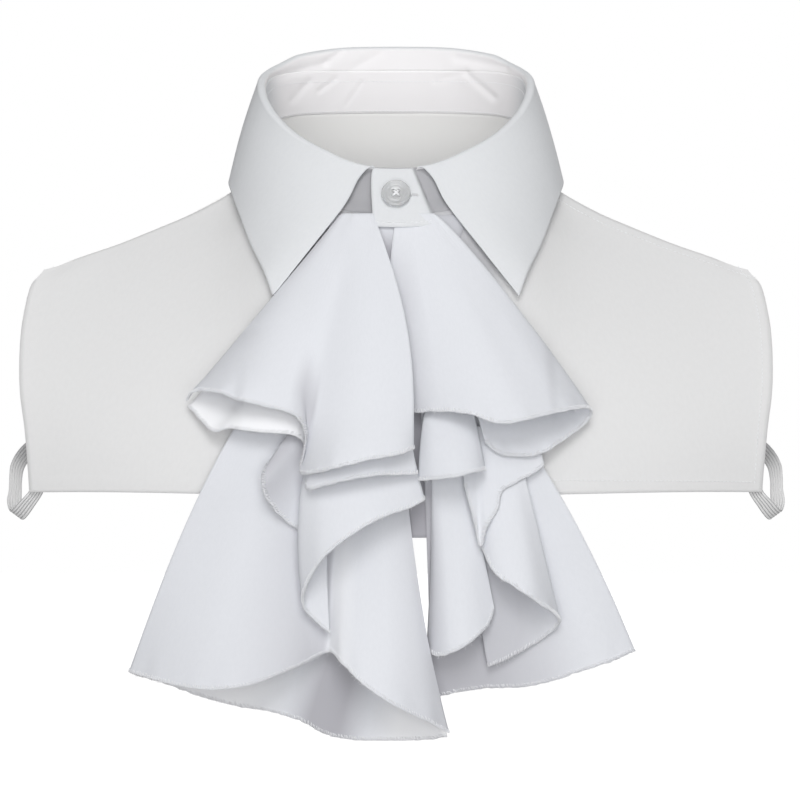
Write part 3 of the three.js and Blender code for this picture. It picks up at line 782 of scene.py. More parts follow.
def makeStand():
    v, u = gridOf(stand["rows"], stand["columns"])
    share = 1 - v
    trim = stand["topTrim"] * share**8 + stand["bottomTrim"] * (1 - share) ** 1.5
    turn = lerp(-stand["lapTurn"] + trim, 360 + stand["innerLap"], u)
    away, beside = fromFront(turn), besideTab(turn, share)
    sunk = smoothStep(away, *stand["sinkFrom"]) * (1 - smoothStep(away, *stand["sinkUntil"]))
    behindNeck = smoothStep(away, *stand["seamLapFrom"])
    grid = standPoint(turn, share, bandLift(turn, share))
    grid[..., 2] -= (stand["sunkTop"] * sunk + stand["frontTrim"] * nearFront(turn)) * share**3
    grid[..., 2] -= (stand["seamLap"] * behindNeck + stand["tabDrop"] * (1 - beside)) * v**3
    x, z = grid[..., 0], grid[..., 2]
    behind = smoothStep(grid[..., 1], *stand["behindDepth"])
    uneven = stand["unevenness"] * unevenness(x, z, stand["unevenSize"], 21)
    grid = lift(grid, uneven * behind * np.sin(math.pi * v))
    creased = insideRelief(x, z) * behind * smoothStep(share, 0, stand["creaseRise"])
    grid = grid + outwardAt(turn) * creased[..., None]
    # painted shade on the outer face of the band beside the buttoned tab, where the collar leaf shades it,
    # and painted light on its inner face behind the neck
    shaded = beside * (1 - smoothStep(away, *stand["recessFade"]))
    masks = {"painted_light": (0 * behind, behind), "painted_shade": (shaded, 0 * shaded)}
    piece = clothPiece("neck_band", "collar_stand", grid, stand["thickness"], "collar_cloth", masks)
    raised = stand["thickness"] / 2 + stand["stitchRaise"]
    rowStep = standHeight(0.0) / stand["rows"]
    low = stand["rows"] - int(round(stand["stitchRow"] / rowStep))
    high = int(round(stand["topRow"] / rowStep))
    tabTurn = stand["lapTurn"] + stand["tabFoot"] - stand["stitchMargin"]
    tabEnd = int(stand["columns"] * tabTurn / (360 + stand["lapTurn"] + stand["innerLap"]))
    sides = [(low, raised, tabEnd), (low, -raised, -2), (high, -raised, -2)]
    runs = [seamRun(grid, np.s_[row, 2:end], side) for row, side, end in sides]
    stitches = threadPiece("neck_band_stitches", runs, "lockstitch", 22)


makeStand()


# collar leaf

leaf = {
    "rows": 72,
    "columns": 380,
    "thickness": 0.95,
    "startTurn": 11,
    "clearance": 0.45,
    "rollRadius": 1.9,
    "belly": 1,
    "riseEnd": 0.12,
    "rollEnd": 0.34,
    "cornerTurn": 36,
    "cornerRoll": 0.45,
    "cornerSink": 0.6,
    "cornerRound": 3.6,
    "roundPlace": 0.06,
    "roundWidth": 0.15,
    "unevenness": 0.25,
    "unevenSize": 45,
    "unevenFrom": (0.4, 0.7),
    "creaseFade": (0.14, 0.26),
    "behindDepth": (5, 25),
    "paintedLightFade": (0.12, 0.2),
    "stitchRow": 2,
    "stitchRaise": 0.1,
}
leafEdge = table(
    "turn across depth height",
    [
        [11, 63, -70, -65.5],
        [20, 67.5, -62, -54],
        [35, 75, -45, -41],
        [55, 81, -28, -28],
        [75, 86, -12, -17],
        [90, 88, 2, -11],
        [110, 84, 24, -6],
        [130, 67, 46, 2],
        [155, 36, 62, 11],
        [180, 0, 68, 14],
    ],
)
leafRise = table(
    "turn rise",
    [
        [0, 1.5], [30, 1.6], [50, 1.4], [70, 1.3], [90, 1.3], [105, 1.3],
        [118, 3], [131, 6.7], [154, 9.9], [180, 10.5],
    ],
)


def leafPoint(turn, v):
    mirrored = fromFront(turn)
    hand = np.where(turn > 180, -1, 1)
    full = smoothStep(mirrored, leaf["startTurn"], leaf["cornerTurn"])
    rise = readAt(leafRise, "turn", mirrored, "rise") * full
    roll = leaf["rollRadius"] * lerp(leaf["cornerRoll"], 1, full)
    outward = outwardAt(mirrored)
    foot = standPoint(mirrored, np.ones_like(mirrored), 0 * mirrored)
    foot[..., 2] += leaf["clearance"] - leaf["cornerSink"] * (1 - full)
    foot[..., 2] -= stand["frontTrim"] * nearFront(mirrored)
    climb = np.clip(v / leaf["riseEnd"], 0, 1)
    angle = math.pi * np.clip((v - leaf["riseEnd"]) / (leaf["rollEnd"] - leaf["riseEnd"]), 0, 1)
    fall = np.clip((v - leaf["rollEnd"]) / (1 - leaf["rollEnd"]), 0, 1)
    foot[..., 2] += rise * climb + roll * np.sin(angle)
    foot += outward * (roll * (1 - np.cos(angle)))[..., None]
    edge = np.stack([readAt(leafEdge, "turn", mirrored, name) for name in ("across", "depth", "height")], -1)
    foot = lerp(foot, edge, fall[..., None]) + outward * (leaf["belly"] * np.sin(math.pi * fall))[..., None]
    foot[..., 0] *= hand
    return foot


def makeLeaf():
    v, u = gridOf(leaf["rows"], leaf["columns"])
    fall = (v - leaf["rollEnd"]) / (1 - leaf["rollEnd"])
    bump = np.exp(-(((fall - leaf["roundPlace"]) / leaf["roundWidth"]) ** 2))
    start = leaf["startTurn"] + leaf["cornerRound"] * bump
    turn = lerp(start, 360 - start, u)
    grid = leafPoint(turn, v)
    x, z = grid[..., 0], grid[..., 2]
    inner = (1 - smoothStep(v, *leaf["creaseFade"])) * smoothStep(grid[..., 1], *leaf["behindDepth"])
    uneven = leaf["unevenness"] * unevenness(x, z, leaf["unevenSize"], 23)
    grid = lift(grid, uneven * smoothStep(v, *leaf["unevenFrom"]))
    grid = grid + outwardAt(turn) * (insideRelief(x, z) * inner)[..., None]
    # painted light on both faces where the collar rises from the band and rolls over
    painted_light = 1 - smoothStep(v, *leaf["paintedLightFade"])
    masks = {"painted_light": (painted_light, painted_light)}
    piece = clothPiece("collar", "collar_leaf", grid, leaf["thickness"], "collar_cloth", masks)
    run = seamRun(grid, np.s_[leaf["stitchRow"]], -leaf["thickness"] / 2 - leaf["stitchRaise"])
    stitches = threadPiece("collar_stitches", [run], "lockstitch", 24)


makeLeaf()
print("collar made")


# jabot: backing strip and ruffles

view = {"distance": 2000, "tilt": math.radians(3), "rounds": 4}


# true place of what shows at across and up, at a distance out from the chest
def placeOut(across, up, out):
    sine, cosine = math.sin(view["tilt"]), math.cos(view["tilt"])
    x, y, z = across + 0 * up, 0 * up - front["depth"], up + 0 * across
    for _ in range(view["rounds"]):
        y = chestAt(x, z) - out
        nearness = (1 + y / (view["distance"] * cosine)) / (1 + up * sine / cosine / view["distance"])
        x = across * nearness
        z = (up * nearness - y * sine) / cosine
    return np.stack([x, y, z], -1)


backing = {
    "rows": 80,
    "columns": 22,
    "thickness": 0.7,
    "halfWidth": 20,
    "top": -28,
    "bottom": -186,
    "offset": 2.5,
    "sideSink": 0.9,
    "edge": 3,
    "tuckedUp": 2.4,
    "shoulder": 15,
    "shoulderEnd": -62,
    "shoulderShade": 0.5,
    "shadeDown": (28, 46),
}


def makeBacking():
    v, u = gridOf(backing["rows"], backing["columns"])
    z = lerp(backing["top"] + backing["tuckedUp"], backing["bottom"], v)
    shoulder = backing["shoulder"] * smoothStep(z, backing["shoulderEnd"], backing["top"])
    x = lerp(-1, 1, u) * (backing["halfWidth"] + shoulder)

    def beyond(width):
        return smoothStep(np.abs(x), width - backing["edge"], width + backing["edge"])

    out = backing["offset"] - backing["sideSink"] * beyond(backing["halfWidth"])
    grid = np.stack([x, chestAt(x, z) - out, z], -1)
    # painted shade on the backing strip, on its widened shoulders and everywhere below its top
    aside = backing["shoulderShade"] * beyond(backing["shoulder"])
    shade = np.maximum(aside, smoothStep(-z, *backing["shadeDown"]))
    masks = {"painted_shade": (shade, shade)}
    piece = clothPiece("jabot_strip", "jabot_backing", grid, backing["thickness"], "ruffle_cloth", masks)


makeBacking()

# values that every ruffle takes, unless it names its own
ruffle = {
    "thickness": 0.55,
    "bandHem": -40,
    "tuckedUp": 2.6,
    "spacing": 1.7,
    "roughGrid": (8, 200),
    "gatherDepth": 0.04,
    "gatherPitch": 3.4,
    "gatherFade": 2.5,
    "hemWave": 0.5,
    "waveSize": 14,
    "waveRise": (0.9, 1),
    "hemRagged": 0.5,
    "raggedSize": 5,
    "unevenness": 0.3,
    "unevenSize": 45,
    "unevenRise": (0, 0.3),
    "cutCurve": 0.64,
    "foldRise": (0.55, 0.97),
    "paintedToneRise": (0.05, 0.5),
}
foldColumns = "gather across up out spread bow layer"
# a row for each fold; the tones are painted: pairs of a place in the rows and how grey the painted shade is
# there, below 0 whiter as painted light
ruffles = {
    "lower_left_rear_ruffle": {
        "top": -197, "root": 4.2, "flare": 1.4,
        "paintedTones": [
            [0, -1], [3, -1], [4.2, -0.2], [5.3, 0.85], [6.5, 0.9], [7.4, 0.1], [8.6, -1], [11, -1],
        ],
        "folds": [
            [-15, -140, -273, 5.5, 0.45],
            [-13, -123, -278, 3, 0.45],
            [-11, -104, -285, 0, 0.5],
            [-9, -85, -290, 0, 0.5],
            [-7, -67, -293, 1, 0.6],
            [-5, -51, -298, -1, 0.7],
            [-3, -38, -305, -2, 0.8],
            [-1, -24, -308, 0, 0.9],
            [2, -8, -308.5, 3, 1],
            [4, 6, -308.5, 5, 1.3],
            [6, 18, -308, 6, 1.7],
            [8, 27, -306.5, 6, 2],
        ],
    },
    "lower_left_ruffle": {
        "top": -90, "root": 4.2, "flare": 3.5, "soften": 6,
        "paintedTones": [
            [2.5, 0], [4.5, 0.28], [6.8, 0.55], [7.3, -0.4], [8.6, -0.5], [9.6, 0], [11, 0], [13, 0.25],
        ],
        "folds": [
            [-30, -142, -272, 10, 0.56],
            [-28, -125, -277, 21, 0.6],
            [-26, -109, -280.5, 29, 0.6],
            [-24, -91, -281, 33, 0.6],
            [-22, -75, -278, 30, 0.6],
            [-20, -59, -272, 22, 0.6],
            [-18, -46, -266, 13, 0.6],
            [-17, -37, -261.5, 9, 0.6],
            [-16, -33, -262, 14, 0.6],
            [-14, -28, -268, 22, 0.7],
            [-12, -17, -279, 30, 0.8],
            [-9, -4, -288, 33, 1],
            [-5, 9, -295, 30, 1.2],
            [-1, 20, -300, 25, 1.6],
            [2, 28, -304.5, 19, 2.1],
        ],
    },
    "left_pocket_ruffle": {
        "top": -110, "root": 5.5, "flare": 2.5,
        "paintedTones": [[1.5, 0], [3, 0.5], [6, 0.6]],
        "folds": [
            [-11, -44, -200, 8.3, 1, -0.5, 0.2],
            [-12, -51, -196.5, 8.4, 1, 0.3, 0.7],
            [-14.2, -59, -190.5, 10.5, 1, 0.4, 0.7],
            [-15.6, -67.5, -181, 15.3, 0.9, 1.8, 1.8],
            [-17.2, -71, -172, 18.7, 0.9, 0.9, 2],
            [-17.8, -69.5, -163.5, 14, 0.9, -4.3, 1.4],
            [-17, -62, -158, 6.3, 0.9, -5.7, 0.1],
        ],
    },
    "third_left_ruffle": {
        "top": -95, "root": 8.9, "flare": 1.3,
        "folds": [
            [-5.1, 15, -180, 15.2, 1, -0.1, 0.6],
            [-6.4, 7.5, -184, 19.9, 1, 0.2],
            [-8, -8.5, -190, 27, 1, -2],
            [-11, -24, -199, 30.9, 1, -5, 0.6],
            [-14, -39, -211.5, 30.8, 1, -9, 1.3],
            [-16, -47, -224, 25.8, 1, -12.9, 1.7],
            [-18, -50, -234, 21, 1, -14, 1],
            [-17, -47, -240.5, 17, 1, -13, -0.3],
            [-16, -41, -246.5, 14.5, 1, -11, -0.2],
            [-15, -35.5, -251, 13, 1, -9, -0.2],
        ],
    },
    "second_left_ruffle": {
        "top": -50, "root": 3.9, "flare": 1.2,
        "paintedTones": [[6, 0], [8, -1], [14, -1]],
        "folds": [
            [-9, 11, -166, 20.1, 1, 0, 0.7],
            [-10, 2, -166.5, 26, 1, 2, 0.4],
            [-12, -11, -167, 32.1, 1, 0, 0.3],
            [-14, -24, -169, 33.9, 1, -2, 0.5],
            [-16, -38, -172.5, 31.4, 1, -4.1, 1.4],
            [-18, -47.5, -174, 25.2, 1, -4.1, 2.2],
            [-19, -46, -165, 19.4, 1, -2.2, 1.5],
            [-20.2, -48, -152, 16, 1, -3, 0.8],
            [-21.1, -53, -146, 16.7, 1, -0.3, 0.4],
            [-23, -63, -144.5, 17.6, 1, 0.1, 0.1],
            [-25, -76, -143.5, 17.3, 1, 0.2, 0.1],
            [-27, -88, -142, 15.2, 1, -0.2, 0.1],
            [-28, -97, -143.5, 11.1, 1, -0.1],
            [-29, -104, -137, 8, 1],
            [-30, -110, -130, 6.5, 1],
        ],
    },
    "upper_left_ruffle": {
        "top": -31, "root": 3.9, "flare": 1.2, "soften": 16, "foldRise": (0.78, 1), "paintedToneRise": (0.6, 0.85),
        # painted shade at the top of the ruffle beside the collar leaf
        "besideLeaf": {"folds": (10.5, 14), "down": (0.12, 0.42), "paintedTone": 0.6},
        "paintedTones": [[4.6, 0], [5.4, 0.6], [7, 0.6], [8.2, 0]],
        "folds": [
            [-12.1, 9, -152.7, 27.4, 1, 7.6, 1.9],
            [-13, 2, -155.6, 34.3, 1, 6.6, 1.1],
            [-14.8, -14, -158.6, 40.3, 1, 3, 0.5],
            [-17, -32.3, -163, 39.7, 1, -0.6, 1.2],
            [-18.8, -45.6, -166, 29.2, 1, -1.7, 1.3],
            [-20, -50.7, -165, 21.4, 1, -1.7, 1.9],
            [-20.9, -49.1, -154.8, 24.7, 1, -4.2, 1.3],
            [-22.1, -48.6, -142, 26.3, 1, -3.2, 2],
            [-23.2, -56.1, -133.8, 27.1, 1, -1.9, 1],
            [-24.7, -69.9, -130.2, 27.4, 1, 0, 0.2],
            [-25.6, -83, -126.9, 29.4, 1, 0.2, 0.1],
            [-26, -94.1, -123.1, 27.2, 1],
            [-26.9, -102.8, -122.1, 20.7, 1, -0.7, 0.1],
            [-27.7, -109.5, -123.8, 15.1, 1, 0.9, 0.4],
            [-28.7, -111, -126.9, 11.1, 1, 0.4, 0.3],
        ],
    },
    "lower_right_rear_ruffle": {
        "top": -110, "root": 4.2, "flare": 4,
        "paintedTones": [[0, 0.85], [2, 0.7], [4, 0.35], [5.5, 0]],
        "folds": [
            [11, 19, -286, 1, 0.6],
            [13, 34, -282.5, 2, 0.6],
            [13.5, 50, -280.5, 3, 0.6],
            [14, 66, -280, 5, 0.6],
            [15, 82, -277, 9, 0.6],
            [16, 97, -272, 12, 0.6],
            [17, 115, -266, 12, 0.6],
            [18, 127, -260.5, 9, 0.57],
        ],
    },
    "lower_right_ruffle": {
        "top": -146, "root": 6.2, "flare": 1.5,
        "paintedTones": [[5.5, 0], [7, 0.5], [9, 0.6]],
        "folds": [
            [45.7, 45.5, -204.5, 10.2, 1, -0.4, 0.1],
            [50.2, 52, -218.5, 20.6, 1, 0.4, 0.7],
            [53.9, 63, -226.5, 26.5, 1, -0.5],
            [57.6, 75, -234.5, 27.6, 1, -0.1, 0.5],
            [60.6, 84, -240.5, 20, 1, 0.1, 0.6],
            [63.1, 87, -245, 14, 1, 0, 0.8],
            [63.2, 81, -252, 9.6, 1, -0.1, -0.4],
            [61.9, 66.5, -261, 8.5, 1, 0, -0.7],
            [60.3, 56, -266.5, 8.3, 1, -6, -0.7],
            [58.4, 49, -269, 8.8, 1, -10, -0.8],
        ],
    },
    "inner_right_ruffle": {
        "top": -152, "root": 6.2, "flare": 1.5,
        "paintedTones": [[0, 0.7], [0.8, 0.5], [2.2, 0]],
        "folds": [
            [19, 16.5, -259, 5.5, 1, 1],
            [20, 21, -263, 12, 1],
            [22, 28, -262, 18, 1],
            [26, 36, -258.5, 20.5, 1],
            [30, 43, -253, 18, 1],
            [33, 49.5, -246, 13.5, 1],
            [35, 52, -238, 11, 1],
        ],
    },
    "right_tip_ruffle": {
        "top": -141, "root": 7.8, "flare": 1.3,
        "folds": [
            [37, 36, -172, 12.5, 1],
            [39, 41, -190, 14.5, 1],
            [42, 45, -205, 15, 1],
            [45, 48, -195, 15.5, 1],
            [49, 54, -185, 14.5, 1],
            [54, 56, -176, 12.5, 1],
            [61, 63.5, -171, 11, 1],
            [68, 71.5, -166.5, 9.5, 1],
            [74, 78.5, -162, 8.8, 1],
        ],
    },
    "right_tongue_ruffle": {
        "top": -113, "root": 5.6, "flare": 1.5, "cutCurve": 0.78,
        "folds": [
            [20, 12, -169.5, 17, 1, -2],
            [22, 20, -169, 24, 1, -2],
            [26, 30, -168, 28, 1],
            [30, 38, -166, 27, 1],
            [34, 44, -164.5, 23, 1],
            [37, 47.5, -164, 17.5, 1],
        ],
    },
    "upper_right_ruffle": {
        "top": -31, "root": 3.9, "flare": 1.8,
        "paintedTones": [[0, 0.5], [1, 0.4], [2.5, 0]],
        "folds": [
            [0.2, 6, -133, 11, 1, -6.5, 0.1],
            [3.6, 12, -133.5, 13.1, 1, -3.9, 0.2],
            [6, 20, -133, 16.4, 1, 0.1, 0.3],
            [9, 30, -133, 21.7, 1, 0, 0.4],
            [12, 41, -135, 28, 1, 0, 0.9],
            [14, 53, -139, 34, 1, 0, 1.5],
            [16, 67, -138, 37, 1, 0, 1.7],
            [17, 80, -134.5, 33, 1, 0.2, 1.9],
            [18, 92.5, -132, 28.1, 0.95, 0.3, 1.8],
            [19.2, 101, -131, 18.5, 0.87, 0.1, 2],
            [20.1, 104, -133.5, 11.2, 0.87, -0.3, 1],
            [19.3, 99, -140.5, 8.4, 0.9, 0, 0.2],
            [18.2, 87, -149.5, 10.2, 1, -0.1, 0.2],
            [17.2, 76, -155.5, 12, 1, -0.6, 0.2],
            [16.2, 64, -157, 12, 1, -0.3, 0.2],
            [15.2, 54, -155, 12, 1, 0, 0.2],
            [14.2, 47, -149, 12, 1, 0, 0.1],
        ],
    },
}


# points of a ruffle at shares down, v, and along, u
def rufflePoint(shape, v, u):
    folds = shape["folds"]
    place = u * (len(folds["gather"]) - 1)
    read = {name: along(folds[name], place) for name in folds}
    across = lerp(read["gather"], read["across"], v ** read["spread"]) + read["bow"] * np.sin(math.pi * v)
    out = lerp(shape["root"] + read["layer"], read["out"], v ** shape["flare"])
    top = shape["top"] + (shape["tuckedUp"] if shape["top"] > shape["bandHem"] else 0)
    return placeOut(across, lerp(top, read["up"], v), out)


# rows of a ruffle, and the shares along it that lie evenly on its hem
def evenColumns(shape):
    rough = rufflePoint(shape, *gridOf(*shape["roughGrid"]))
    steps = np.linalg.norm(np.diff(rough[-1], axis=0), axis=-1)
    height = np.linalg.norm(np.diff(rough, axis=0), axis=-1).sum(0).max()
    hem = np.concatenate([[0], np.cumsum(steps)])
    even = np.linspace(0, hem[-1], int(hem[-1] / shape["spacing"]) + 1)
    return int(height / shape["spacing"]), np.interp(even, hem, np.linspace(0, 1, len(hem)))


# painted shade (greyer) and painted light (whiter) along a ruffle's folds, growing towards the hem, with
# painted shade beside the collar leaf
def paintedToneMasks(shape, v, shares):
    place = shares * (len(shape["folds"]["gather"]) - 1)
    paintedTone = np.interp(place, *zip(*shape["paintedTones"])) * smoothStep(v, *shape["paintedToneRise"])
    if "besideLeaf" in shape:
        near = shape["besideLeaf"]
        paintedTone = paintedTone + near["paintedTone"] * smoothStep(place, *near["folds"]) * (1 - smoothStep(v, *near["down"]))
    return {"painted_shade": (np.maximum(paintedTone, 0),) * 2, "painted_light": (np.maximum(-paintedTone, 0),) * 2}


def makeRuffle(name, shape, seed):
    rows, shares = evenColumns(shape)
    v, _ = gridOf(rows, len(shares) - 1)
    grid = rufflePoint(shape, v, np.broadcast_to(shares, v.shape))
    if "soften" in shape:
        soft = softened(grid, shape["soften"] / shape["spacing"])
        grid = lerp(soft, grid, smoothStep(v, *shape["foldRise"])[..., None])
    coordinates = clothCoordinates(grid)
    hem, down = coordinates[..., 0], coordinates[..., 1]
    gathers = np.sin(math.pi * hem / shape["gatherPitch"] + seed) * (1 - v) ** shape["gatherFade"]
    wave = unevenness(hem, 0 * hem, shape["waveSize"], seed + 50) * smoothStep(v, *shape["waveRise"])
    slow = unevenness(hem, down, shape["unevenSize"], seed) * smoothStep(v, *shape["unevenRise"])
    grid = lift(grid, shape["gatherDepth"] * gathers + shape["hemWave"] * wave + shape["unevenness"] * slow)
    ragged = shape["hemRagged"] * unevenness(hem[-1], 0 * hem[-1], shape["raggedSize"], seed + 90)
    grid[-1] += unit(grid[-1] - grid[-2]) * ragged[:, None]
    masks = paintedToneMasks(shape, v, shares) if "paintedTones" in shape else {}
    label = name.replace("_ruffle", "_flounce")
    piece = clothPiece(label, name, grid, shape["thickness"], "ruffle_cloth", masks)
    hemLine = [seamRun(grid, np.s_[-1])]
    for kind in ("overlock", "fibres"):
        threadPiece(f"{label}_{kind}", hemLine, kind, seed)


for seed, (name, shape) in enumerate(ruffles.items(), 31):
    makeRuffle(name, {**ruffle, **shape, "folds": table(foldColumns, shape["folds"])}, seed)
print("ruffles made")


# elastic loops

elastic = {
    "rows": 190,
    "ribColumns": 8,
    "width": 7.8,
    "thickness": 0.9,
    "ribs": 5,
    "ribHeight": 0.3,
    "knitPitch": 0.9,
    "knitHeight": 0.05,
    "grooveTone": 0.45,
    "grooveShadeColour": (0.3, 0.3, 0.31, 1),
    "ribColour": (0.98, 0.98, 0.98, 1),
    "yarnScale": 2500,
    "yarnBump": 0.3,
    "yarnDepth": 0.2,
}
# the last two columns: how much painted shade darkens the grooves between the ribs, and how much painted
# shade greys the band there
elasticPath = table(
    "across depth height widthAcross widthDepth widthHeight grooves shade",
    [
        [185.5, -49.4, -162, 1, 0.5, 0, 1, 0.3],
        [187, -48, -169.5, 1, 0.4, 0.05, 1, 0.15],
        [192, -43.5, -176.5, 1, 0.2, 0.3, 1, 0],
        [198.5, -34, -184.2, 0.8, 0, 0.6, 1, 0],
        [201.5, -21, -181.5, 0.9, 0.1, 0.4, 0.3, 0],
        [202.4, -5, -175.5, 1, 0.5, 0, 0.15, 0],
        [203.4, 8, -170.5, 1, 0.5, 0, 0.25, 0],
        [203.4, 20, -165.5, 1, 0.3, 0.2, 0.5, 0.15],
        [200.5, 31, -160.5, 0.8, 0, 0.5, 1, 0.5],
        [195.5, 38.8, -156, 0.6, -0.2, 0.7, 1, 0.6],
        [189.5, 43.6, -152, 0.5, -0.25, 0.8, 1, 0.6],
    ],
)


def makeElasticMaterial():
    material, tree, shader = startMaterial("elastic")
    # an attribute mixes the painted shade of the grooves with the colour of the ribs
    painted_elastic_shade = addNode(tree, "ShaderNodeAttribute", attribute_name="painted_elastic_shade").outputs["Fac"]
    place = addNode(tree, "ShaderNodeTexCoord").outputs["Object"]
    yarn = {"Vector": place, "Scale": elastic["yarnScale"], "Detail": 2}
    noise = firstOutput(tree, "ShaderNodeTexNoise", yarn)
    relief = {"Height": noise, "Strength": elastic["yarnBump"], "Distance": elastic["yarnDepth"] * mm}
    bump = firstOutput(tree, "ShaderNodeBump", relief)
    colour = mixedColour(tree, painted_elastic_shade, elastic["grooveShadeColour"], elastic["ribColour"])
    setInputs(tree, shader, {"Base Color": colour, "Normal": bump, "Roughness": 0.6, "Sheen Weight": 0.1})
    return material


cloths["elastic"] = makeElasticMaterial()


def makeElastic(name, node, hand):
    v, u = gridOf(elastic["rows"], elastic["ribs"] * elastic["ribColumns"])
    read = {key: along(column, v * (len(column) - 1)) for key, column in elasticPath.items()}
    width = unit(np.stack([read["widthAcross"], read["widthDepth"], read["widthHeight"]], -1))
    grid = np.stack([read["across"], read["depth"], read["height"]], -1)
    grid = grid + width * (elastic["width"] * (u - 0.5))[..., None]
    grid[..., 0] *= hand
    ribs = np.abs(np.cos(math.pi * elastic["ribs"] * (u - 0.5)))
    knit = np.sin(2 * math.pi * clothCoordinates(grid)[..., 1] / elastic["knitPitch"])
    thickness = elastic["thickness"] + 2 * elastic["ribHeight"] * (ribs - 0.5) + elastic["knitHeight"] * knit
    piece = clothPiece(name, node, grid, thickness, "elastic")
    # painted shade: darker in the grooves between the ribs and greyer along the shaded stretches of the band
    paintedTone = (1 - read["grooves"] * (1 - ribs ** elastic["grooveTone"])) * (1 - read["shade"])
    rim = np.ones(len(piece.data.vertices) - 2 * paintedTone.size)
    values = np.concatenate([paintedTone.ravel(), paintedTone.ravel(), rim]).astype(np.float32)
    piece.data.attributes.new("painted_elastic_shade", "FLOAT", "POINT").data.foreach_set("value", values)


makeElastic("elastic_band_right", "elastic_right", 1)
makeElastic("elastic_band_left", "elastic_left", -1)
print("elastic made")


# collar button

button = {
    "height": 11,
    "reach": 0.15,  # share of the tab on each side whose slope it takes
    "standOff": 0.6,
    "sides": 72,
    "sharpAngle": 35,
    "holeRadius": 0.8,
    "holeSides": 20,
    "holeDepth": 8,
    "holeSpread": 1.4,
    "threadRadius": 0.34,
    "threadGap": 0.3,
    "threadRise": 1.75,
    "threadArch": (0.45, 0.75),
    "threadSink": 0.4,
    "slit": (-4, 11.4),
    "slitHalf": 0.55,
    "slitRaise": 0.12,
    "dark": (0.78, 0.79, 0.8, 1),
    "bright": (0.9, 0.91, 0.92, 1),
    "cloudScale": 260,
}
buttonSection = table(
    "radius height",
    [
        [0, 0], [6.3, 0], [7.1, 0.25], [7.5, 0.9], [7.5, 1.6], [7.25, 2.25], [6.75, 2.58],
        [6.2, 2.5], [5.6, 1.95], [4.9, 1.62], [4.3, 1.6], [3.9, 1.75], [3.5, 1.6], [0, 1.55],
    ],
)


def makeButtonMaterial():
    material, tree, shader = startMaterial("button_plastic")
    place = addNode(tree, "ShaderNodeTexCoord").outputs["Object"]
    cloud = {"Vector": place, "Scale": button["cloudScale"], "Detail": 2}
    noise = firstOutput(tree, "ShaderNodeTexNoise", cloud)
    colour = mixedColour(tree, noise, button["dark"], button["bright"])
    values = {"Base Color": colour, "Roughness": 0.12, "IOR": 1.5, "Transmission Weight": 0.45}
    setInputs(tree, shader, values)
    return material


# middle of the tab at a share of its height
def tabPoint(share):
    place = standPoint(np.array(0.0), np.array(share), bandLift(np.array(0.0), share))
    place[2] -= stand["frontTrim"] * share**3 + stand["tabDrop"] * (1 - share) ** 3
    return place


buttonShare = button["height"] / stand["frontHeight"]
tabRise = tabPoint(buttonShare + button["reach"]) - tabPoint(buttonShare - button["reach"])
tabSlope = math.atan2(tabRise[1], tabRise[2])
buttonBase = stand["thickness"] / 2 + button["standOff"]
tabFacing = np.array([0, -math.cos(tabSlope), math.sin(tabSlope)])


# turns and moves points of a flat button onto the tab
def ontoTab(points):
    upward = np.array([0, math.sin(tabSlope), math.cos(tabSlope)])
    axes = np.stack([[1, 0, 0], upward, tabFacing])
    return tabPoint(buttonShare) + points @ axes


# closed body turned from a section that starts and ends on the axis
def turnedMesh(name, section, sides):
    angles = np.linspace(0, 2 * math.pi, sides, endpoint=False)
    rings = list(zip(section["radius"], section["height"]))[1:-1]
    points = [(0, 0, section["height"][0])]
    for radius, height in rings:
        points += [(radius * math.cos(a), radius * math.sin(a), height) for a in angles]
    points.append((0, 0, section["height"][-1]))
    faces = []
    last = 1 + (len(rings) - 1) * sides
    for k in range(sides):
        n = (k + 1) % sides
        faces.append((0, 1 + n, 1 + k))
        for ring in range(len(rings) - 1):
            low, high = 1 + ring * sides, 1 + (ring + 1) * sides
            faces.append((low + k, low + n, high + n, high + k))
        faces.append((last + k, last + n, len(points) - 1))
    mesh = bpy.data.meshes.new(name)
    mesh.from_pydata([tuple(point) for point in points], [], faces)
    return mesh


def makeButton():
    disc = placeObject("shirt_button", turnedMesh("shirt_button", buttonSection, button["sides"]))
    spread, radius = button["holeSpread"], button["holeRadius"]
    sizes = {"segments": button["holeSides"], "radius1": radius, "radius2": radius}
    drill = bmesh.new()
    for x, y in ((-spread, -spread), (-spread, spread), (spread, -spread), (spread, spread)):
        place = Matrix.Translation((x, y, 1))
        bmesh.ops.create_cone(drill, cap_ends=True, matrix=place, depth=button["holeDepth"], **sizes)
    drillMesh = bpy.data.meshes.new("drill")
    drill.to_mesh(drillMesh)
    drill.free()
    cutter = placeObject("drill", drillMesh)
    cut = disc.modifiers.new("holes", "BOOLEAN")
    cut.operation, cut.object, cut.solver = "DIFFERENCE", cutter, "EXACT"
    mesh = finishedMesh(disc, "shirt_button")
    bpy.data.objects.remove(cutter)
    points = np.empty(3 * len(mesh.vertices))
    mesh.vertices.foreach_get("co", points)
    points = points.reshape(-1, 3) + [0, 0, buttonBase]
    mesh.vertices.foreach_set("co", (ontoTab(points) * mm).ravel())
    mesh.shade_smooth()
    mesh.set_sharp_from_angle(angle=math.radians(button["sharpAngle"]))
    mesh.materials.clear()
    mesh.materials.append(makeButtonMaterial())
    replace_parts(addPiece("shirt_button", mesh), "collar_button")


